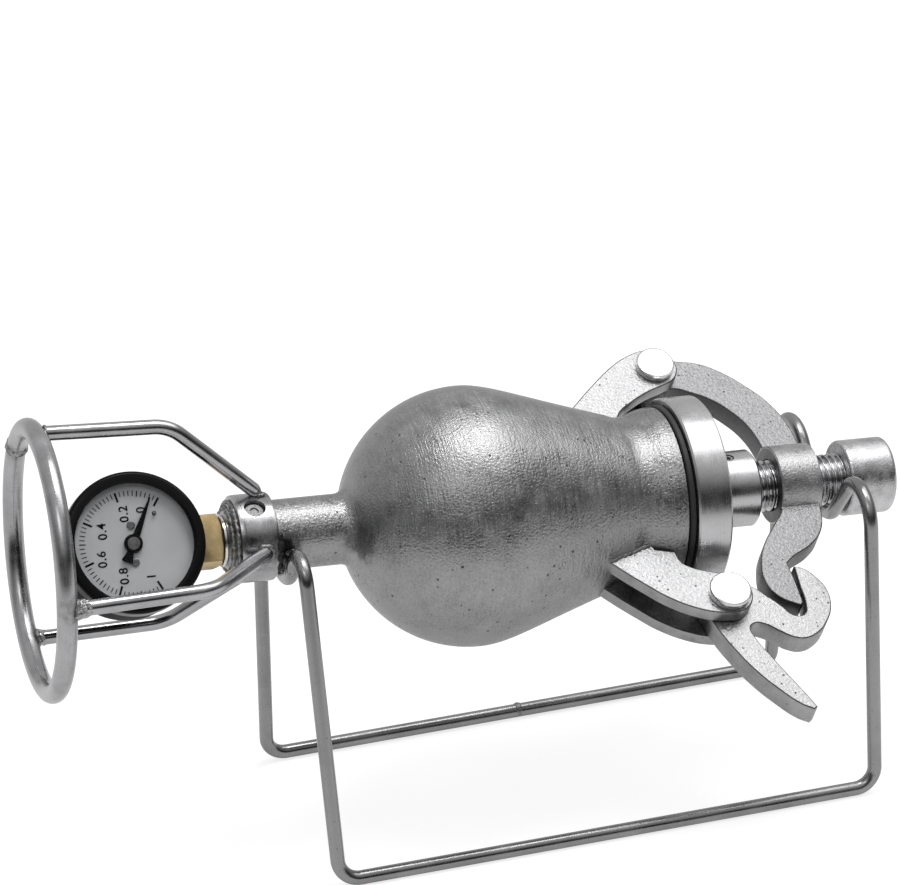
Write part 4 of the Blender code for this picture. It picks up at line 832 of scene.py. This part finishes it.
# The clamp's screw: M24 coarse thread, bright, with a thick turned head whose side is brushed.
# The thread is cut below the shank's diameter, right-handed, 3 mm from turn to turn.
screw_steel = metal("screw_steel", (0.54, 0.54, 0.55), 0.16, ("lathe", 2600.0, 3.0), bump=0.2, depth=0.4,
                    tarnish=(0.5, 90.0), grain=(0.2, 1700.0), pits=(0.25, 520.0))
head_steel = metal("head_steel", (0.57, 0.57, 0.58), 0.26, ("lathe", 1900.0, 26.0), bump=0.7, depth=1.0,
                   tarnish=(1.3, 120.0), grain=(0.5, 1500.0), pits=(0.3, 420.0))
pitch, root, around, rows = 0.0030, 0.0103, 72, 190
thread_from, thread_to, head_end = boss_end + 0.0004, 0.1819, 0.2054
work = bmesh.new()
grid = []
for along in (thread_from + (thread_to - thread_from) * i / rows for i in range(rows + 1)):
    fade = min(1.0, (along - thread_from) / 0.0020)
    ring = []
    for k in range(around):
        phase = (along / pitch - k / around) % 1.0
        flank = min(1.0, max(0.0, (abs(phase - 0.5) * 2 - 0.22) / 0.66))
        radius = root + (screw_crest - root) * flank * (0.4 + 0.6 * fade)
        angle = math.tau * k / around
        point = Vector((along, radius * math.cos(angle), radius * math.sin(angle)))
        ring.append(work.verts.new(drum @ point))
    grid.append(ring)
for a, b in zip(grid, grid[1:]):
    for k in range(around):
        work.faces.new((a[k], b[k], b[(k + 1) % around], a[(k + 1) % around])).smooth = True
work.faces.new(grid[0])
work.faces.new(list(reversed(grid[-1])))
bmesh.ops.recalc_face_normals(work, faces=work.faces)
new_piece(finished(work, "screw_thread", 60), screw_steel, "screw", "clamp_screw")
head_side = [(head_end, 0.0)] + arc((head_end - 0.0022, 0.0156), 0.0022, 0.0, math.pi / 2, 6)
head_side += arc((0.1837, 0.0162), 0.0016, math.pi / 2, math.pi, 6) + [(0.1821, 0.0)]
new_piece(turned("screw_head", head_side, 96), head_steel, "screw", "clamp_screw", replaces=False)
spindle_side = [
    (boss_end + 0.0006, 0.0), (boss_end + 0.0006, spindle), (grub_x + 0.0040, spindle),
    (grub_x + 0.0040, 0.0060), (grub_x - 0.0040, 0.0060), (grub_x - 0.0040, spindle),
    (spindle_end, spindle), (spindle_end, 0.0)]
new_piece(turned("screw_spindle", spindle_side, 48), screw_steel, "screw", "clamp_screw", replaces=False)


# The adapter: square brass bar, turned at the collar's side, dull and a little brown, with a
# steel washer behind it. Its faces lie square with the dial.
def dress(material, *names):
    """Gives CAD nodes their finish, with their round faces smooth."""
    for name in names:
        mesh = nodes[name].data
        mesh.materials.clear()
        mesh.materials.append(material)
        mesh.shade_smooth()
        mesh.set_sharp_from_angle(angle=math.radians(30))


gauge_x, dial_lean = -0.1587, 33.5
gauge = drum @ Matrix.Translation((gauge_x, 0, 0)) @ Matrix.Rotation(
    math.radians(90 + plane_lean - dial_lean), 4, "X")
brass_metal = metal("brass_metal", (0.62, 0.47, 0.245), 0.42, ("every", 800.0, 1.0), bump=0.35, depth=0.3,
                    tarnish=(1.0, 130.0), grain=(0.35, 1500.0), pits=(0.3, 420.0))
work = bmesh.new()
bmesh.ops.create_cube(work, size=1.0, matrix=gauge @ Matrix.Translation((-0.12225 - gauge_x, 0, 0)) @
                      Matrix.Diagonal((0.0111, 0.0220, 0.0220, 1.0)))
bmesh.ops.bevel(work, geom=work.edges[:], offset=0.0007, segments=3, profile=0.5, affect="EDGES")
end_side = [(-0.1167, 0.0), (-0.1167, 0.0110), (-0.1171, 0.0118), (-0.1189, 0.0157), (-0.1290, 0.0157),
            (-0.1290, 0.0)]
adapter = cut(finished(work, "adapter_bar"), turned("adapter_end", end_side, 96), "INTERSECT")
stub_side = [(-0.0967, 0.0), (-0.0967, 0.0074), (-0.0973, 0.0080), (-0.1187, 0.0080), (-0.1187, 0.0)]
adapter = cut(adapter, turned("adapter_stub", stub_side, 48), "UNION")
new_piece(adapter, brass_metal, "drum", "brass_adapter")
dress(brass_metal, "gauge_stem", "gauge_bourdon_tube", "gauge_movement")
ring = [(-0.1149, 0.0083), (-0.1149, 0.0117), (-0.1152, 0.0120), (-0.1161, 0.0120), (-0.1164, 0.0117),
        (-0.1164, 0.0083)]
new_piece(turned("washer_ring", ring, 72), pin_steel, "drum", "sealing_washer")


# The gauge: a pressed steel case and bezel in black enamel, a clear window, and a pale dial
# with black ticks and numbers. The numbers stand with their tops to the left, as they do in
# the photograph, but not mirrored.
def paint(name, colour, roughness, shine=0.5):
    """Enamel, with faint orange peel and dust."""
    material = bpy.data.materials.new(name)
    material.use_nodes = True
    tree = material.node_tree
    shader = tree.nodes["Principled BSDF"]
    where = put(tree, "TexCoord").outputs["Object"]
    dust = clouds(tree, where, 90.0, 5.0)
    mottle = spread(tree, dust, (0.3, 0.7), (roughness - 0.05, roughness + 0.08))
    tint = put(tree, "Mix", {"Factor": dust, "A": (*[c * 0.85 for c in colour], 1),
                             "B": (*[c * 1.1 for c in colour], 1)}, data_type="RGBA")
    peel = clouds(tree, where, 900.0, 2.0)
    skin = put(tree, "Bump", {"Height": peel, "Distance": 0.0001, "Strength": 0.25})
    shader.inputs["Specular IOR Level"].default_value = shine
    tree.links.new(tint.outputs[2], shader.inputs["Base Color"])
    tree.links.new(mottle, shader.inputs["Roughness"])
    tree.links.new(skin.outputs["Normal"], shader.inputs["Normal"])
    return material


dial_face = 0.0160
upright = Matrix.Rotation(math.radians(-90), 4, "Y")
black_enamel = paint("black_enamel", (0.006, 0.006, 0.0065), 0.22, 0.14)
case_enamel = paint("case_enamel", (0.006, 0.006, 0.0065), 0.50, 0.05)
dial_enamel = paint("dial_enamel", (0.66, 0.665, 0.68), 0.45)
print_black = paint("print_black", (0.006, 0.006, 0.006), 0.6, 0.05)
bezel_side = [
    (0.0212, 0.0278), (0.0212, 0.0304), (0.0209, 0.0312), (0.0203, 0.0318), (0.0195, 0.0320),
    (0.0132, 0.0320), (0.0132, 0.0309), (0.0197, 0.0309), (0.0197, 0.0266), (0.0203, 0.0267)]
new_piece(turned("gauge_rim", bezel_side, 112, gauge @ upright), black_enamel, "drum", "gauge_bezel")
case_side = [
    (0.0179, 0.0306), (-0.0070, 0.0306), (-0.0086, 0.0301), (-0.0097, 0.0290), (-0.0100, 0.0276),
    (-0.0100, 0.0), (-0.0090, 0.0), (-0.0090, 0.0276), (-0.0070, 0.0296), (0.0179, 0.0296)]
new_piece(turned("gauge_shell", case_side, 112, gauge @ upright), case_enamel, "drum", "gauge_case")
dress(dial_enamel, "gauge_dial")
needle = gauge @ Matrix.Translation((0, 0, dial_face)) @ Matrix.Rotation(math.radians(63.5), 4, "Z")
work = bmesh.new()
shape = [(0.0221, 0.0003), (0.0020, 0.0018), (-0.0040, 0.0015), (-0.0050, 0.0016), (-0.0086, 0.0026),
         (-0.0090, 0.0023)]
shape += [(x, -y) for x, y in reversed(shape)]
face = work.faces.new([work.verts.new(needle @ Vector((x, y, 0.0012))) for x, y in shape])
rise = bmesh.ops.extrude_face_region(work, geom=[face])["geom"]
bmesh.ops.translate(work, vec=needle.to_3x3() @ Vector((0, 0, 0.0006)),
                    verts=[v for v in rise if isinstance(v, bmesh.types.BMVert)])
bmesh.ops.recalc_face_normals(work, faces=work.faces)
hub_side = [(0.0021, 0.0), (0.0021, 0.0037), (0.0019, 0.0041), (0.0016, 0.0042), (0.0009, 0.0042),
            (0.0009, 0.0008), (-0.0066, 0.0008), (-0.0066, 0.0)]
pointer = cut(finished(work, "needle_pointer"), turned("needle_hub", hub_side, 48, needle @ upright), "UNION")
new_piece(pointer, print_black, "needle", "gauge_needle")
dial_screw_steel = metal("dial_screw_steel", (0.20, 0.20, 0.205), 0.38, ("every", 1100.0, 1.0), bump=0.5,
                         depth=0.6, tarnish=(1.0, 300.0), grain=(0.6, 1700.0), pits=(0.5, 700.0))
dress(dial_screw_steel, "gauge_stop_pin")
for name, side in (("gauge_dial_screw_a", 1), ("gauge_dial_screw_b", -1)):
    place = gauge @ Matrix.Translation((0, side * 0.0084, 0)) @ upright
    screw_side = [(0.0168, 0.0), (0.0168, 0.0014), (0.0166, 0.0018), (0.0163, 0.0019), (0.0163, 0.0010),
                  (0.0144, 0.0010), (0.0144, 0.0)]
    slot = bmesh.new()
    bmesh.ops.create_cube(slot, size=1.0, matrix=place @ Matrix.Translation((0.0170, 0, 0)) @
                          Matrix.Rotation(0.6 * side, 4, "X") @ Matrix.Diagonal((0.0006, 0.0005, 0.0060, 1)))
    head = cut(turned(name + "_head", screw_side, 32, place), finished(slot, "screw_slot"))
    new_piece(head, dial_screw_steel, "drum", name)
window = bpy.data.materials.new("window_clear")
window.use_nodes = True
tree = window.node_tree
shader = tree.nodes["Principled BSDF"]
shader.inputs["Base Color"].default_value = (0.95, 0.97, 0.98, 1)
shader.inputs["Transmission Weight"].default_value = 1.0
shader.inputs["Alpha"].default_value = 0.08
film = clouds(tree, put(tree, "TexCoord").outputs["Object"], 120.0, 4.0)
tree.links.new(spread(tree, film, (0.35, 0.70), (0.02, 0.09)), shader.inputs["Roughness"])
dress(window, "gauge_window")

work = bmesh.new()
printed = dial_face + 0.00008
first_tick, last_tick = math.radians(54.5), math.radians(296.6)
for k in range(51):
    angle = first_tick + (last_tick - first_tick) * k / 50
    inner, outer, half = (0.0196, 0.0240, 0.00048) if k % 10 == 0 else (
        (0.0212, 0.0240, 0.00026) if k % 5 == 0 else (0.0216, 0.0240, 0.00022))
    way = Vector((math.cos(angle), math.sin(angle), 0))
    wide = Vector((-way.y, way.x, 0)) * half
    lift_up = Vector((0, 0, printed))
    work.faces.new([work.verts.new(gauge @ (p + lift_up)) for p in
                    (way * inner - wide, way * outer - wide, way * outer + wide, way * inner + wide)])
new_piece(finished(work, "dial_ticks"), print_black, "drum", "gauge_dial", replaces=False)
for label, x, y in (("0", 0.0055, 0.0148), ("0.2", -0.0023, 0.0137), ("0.4", -0.0129, 0.0068),
                    ("0.6", -0.0145, -0.0056), ("0.8", -0.0057, -0.0139), ("1", 0.0065, -0.0152)):
    text = bpy.data.curves.new("number_" + label.replace(".", "_"), "FONT")
    text.body = label
    text.size, text.space_character, text.extrude, text.offset = 0.0056, 1.12, 0.00003, 0.0001
    text.align_x = text.align_y = "CENTER"
    text.materials.append(print_black)
    number = bpy.data.objects.new(text.name, text)
    number.matrix_world = (gauge @ Matrix.Translation((x, y, printed)) @
                           Matrix.Rotation(math.radians(90), 4, "Z"))
    bpy.context.scene.collection.objects.link(number)
    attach(number, "drum")
cap_side = [(0.0022, 0.0), (0.0022, 0.0016), (0.0025, 0.0019), (0.0025, 0.0026), (0.0022, 0.0029),
            (0.0021, 0.0029), (0.0021, 0.0)]
new_piece(turned("needle_screw", cap_side, 32, needle @ upright), dial_screw_steel, "needle", "gauge_needle",
          replaces=False)
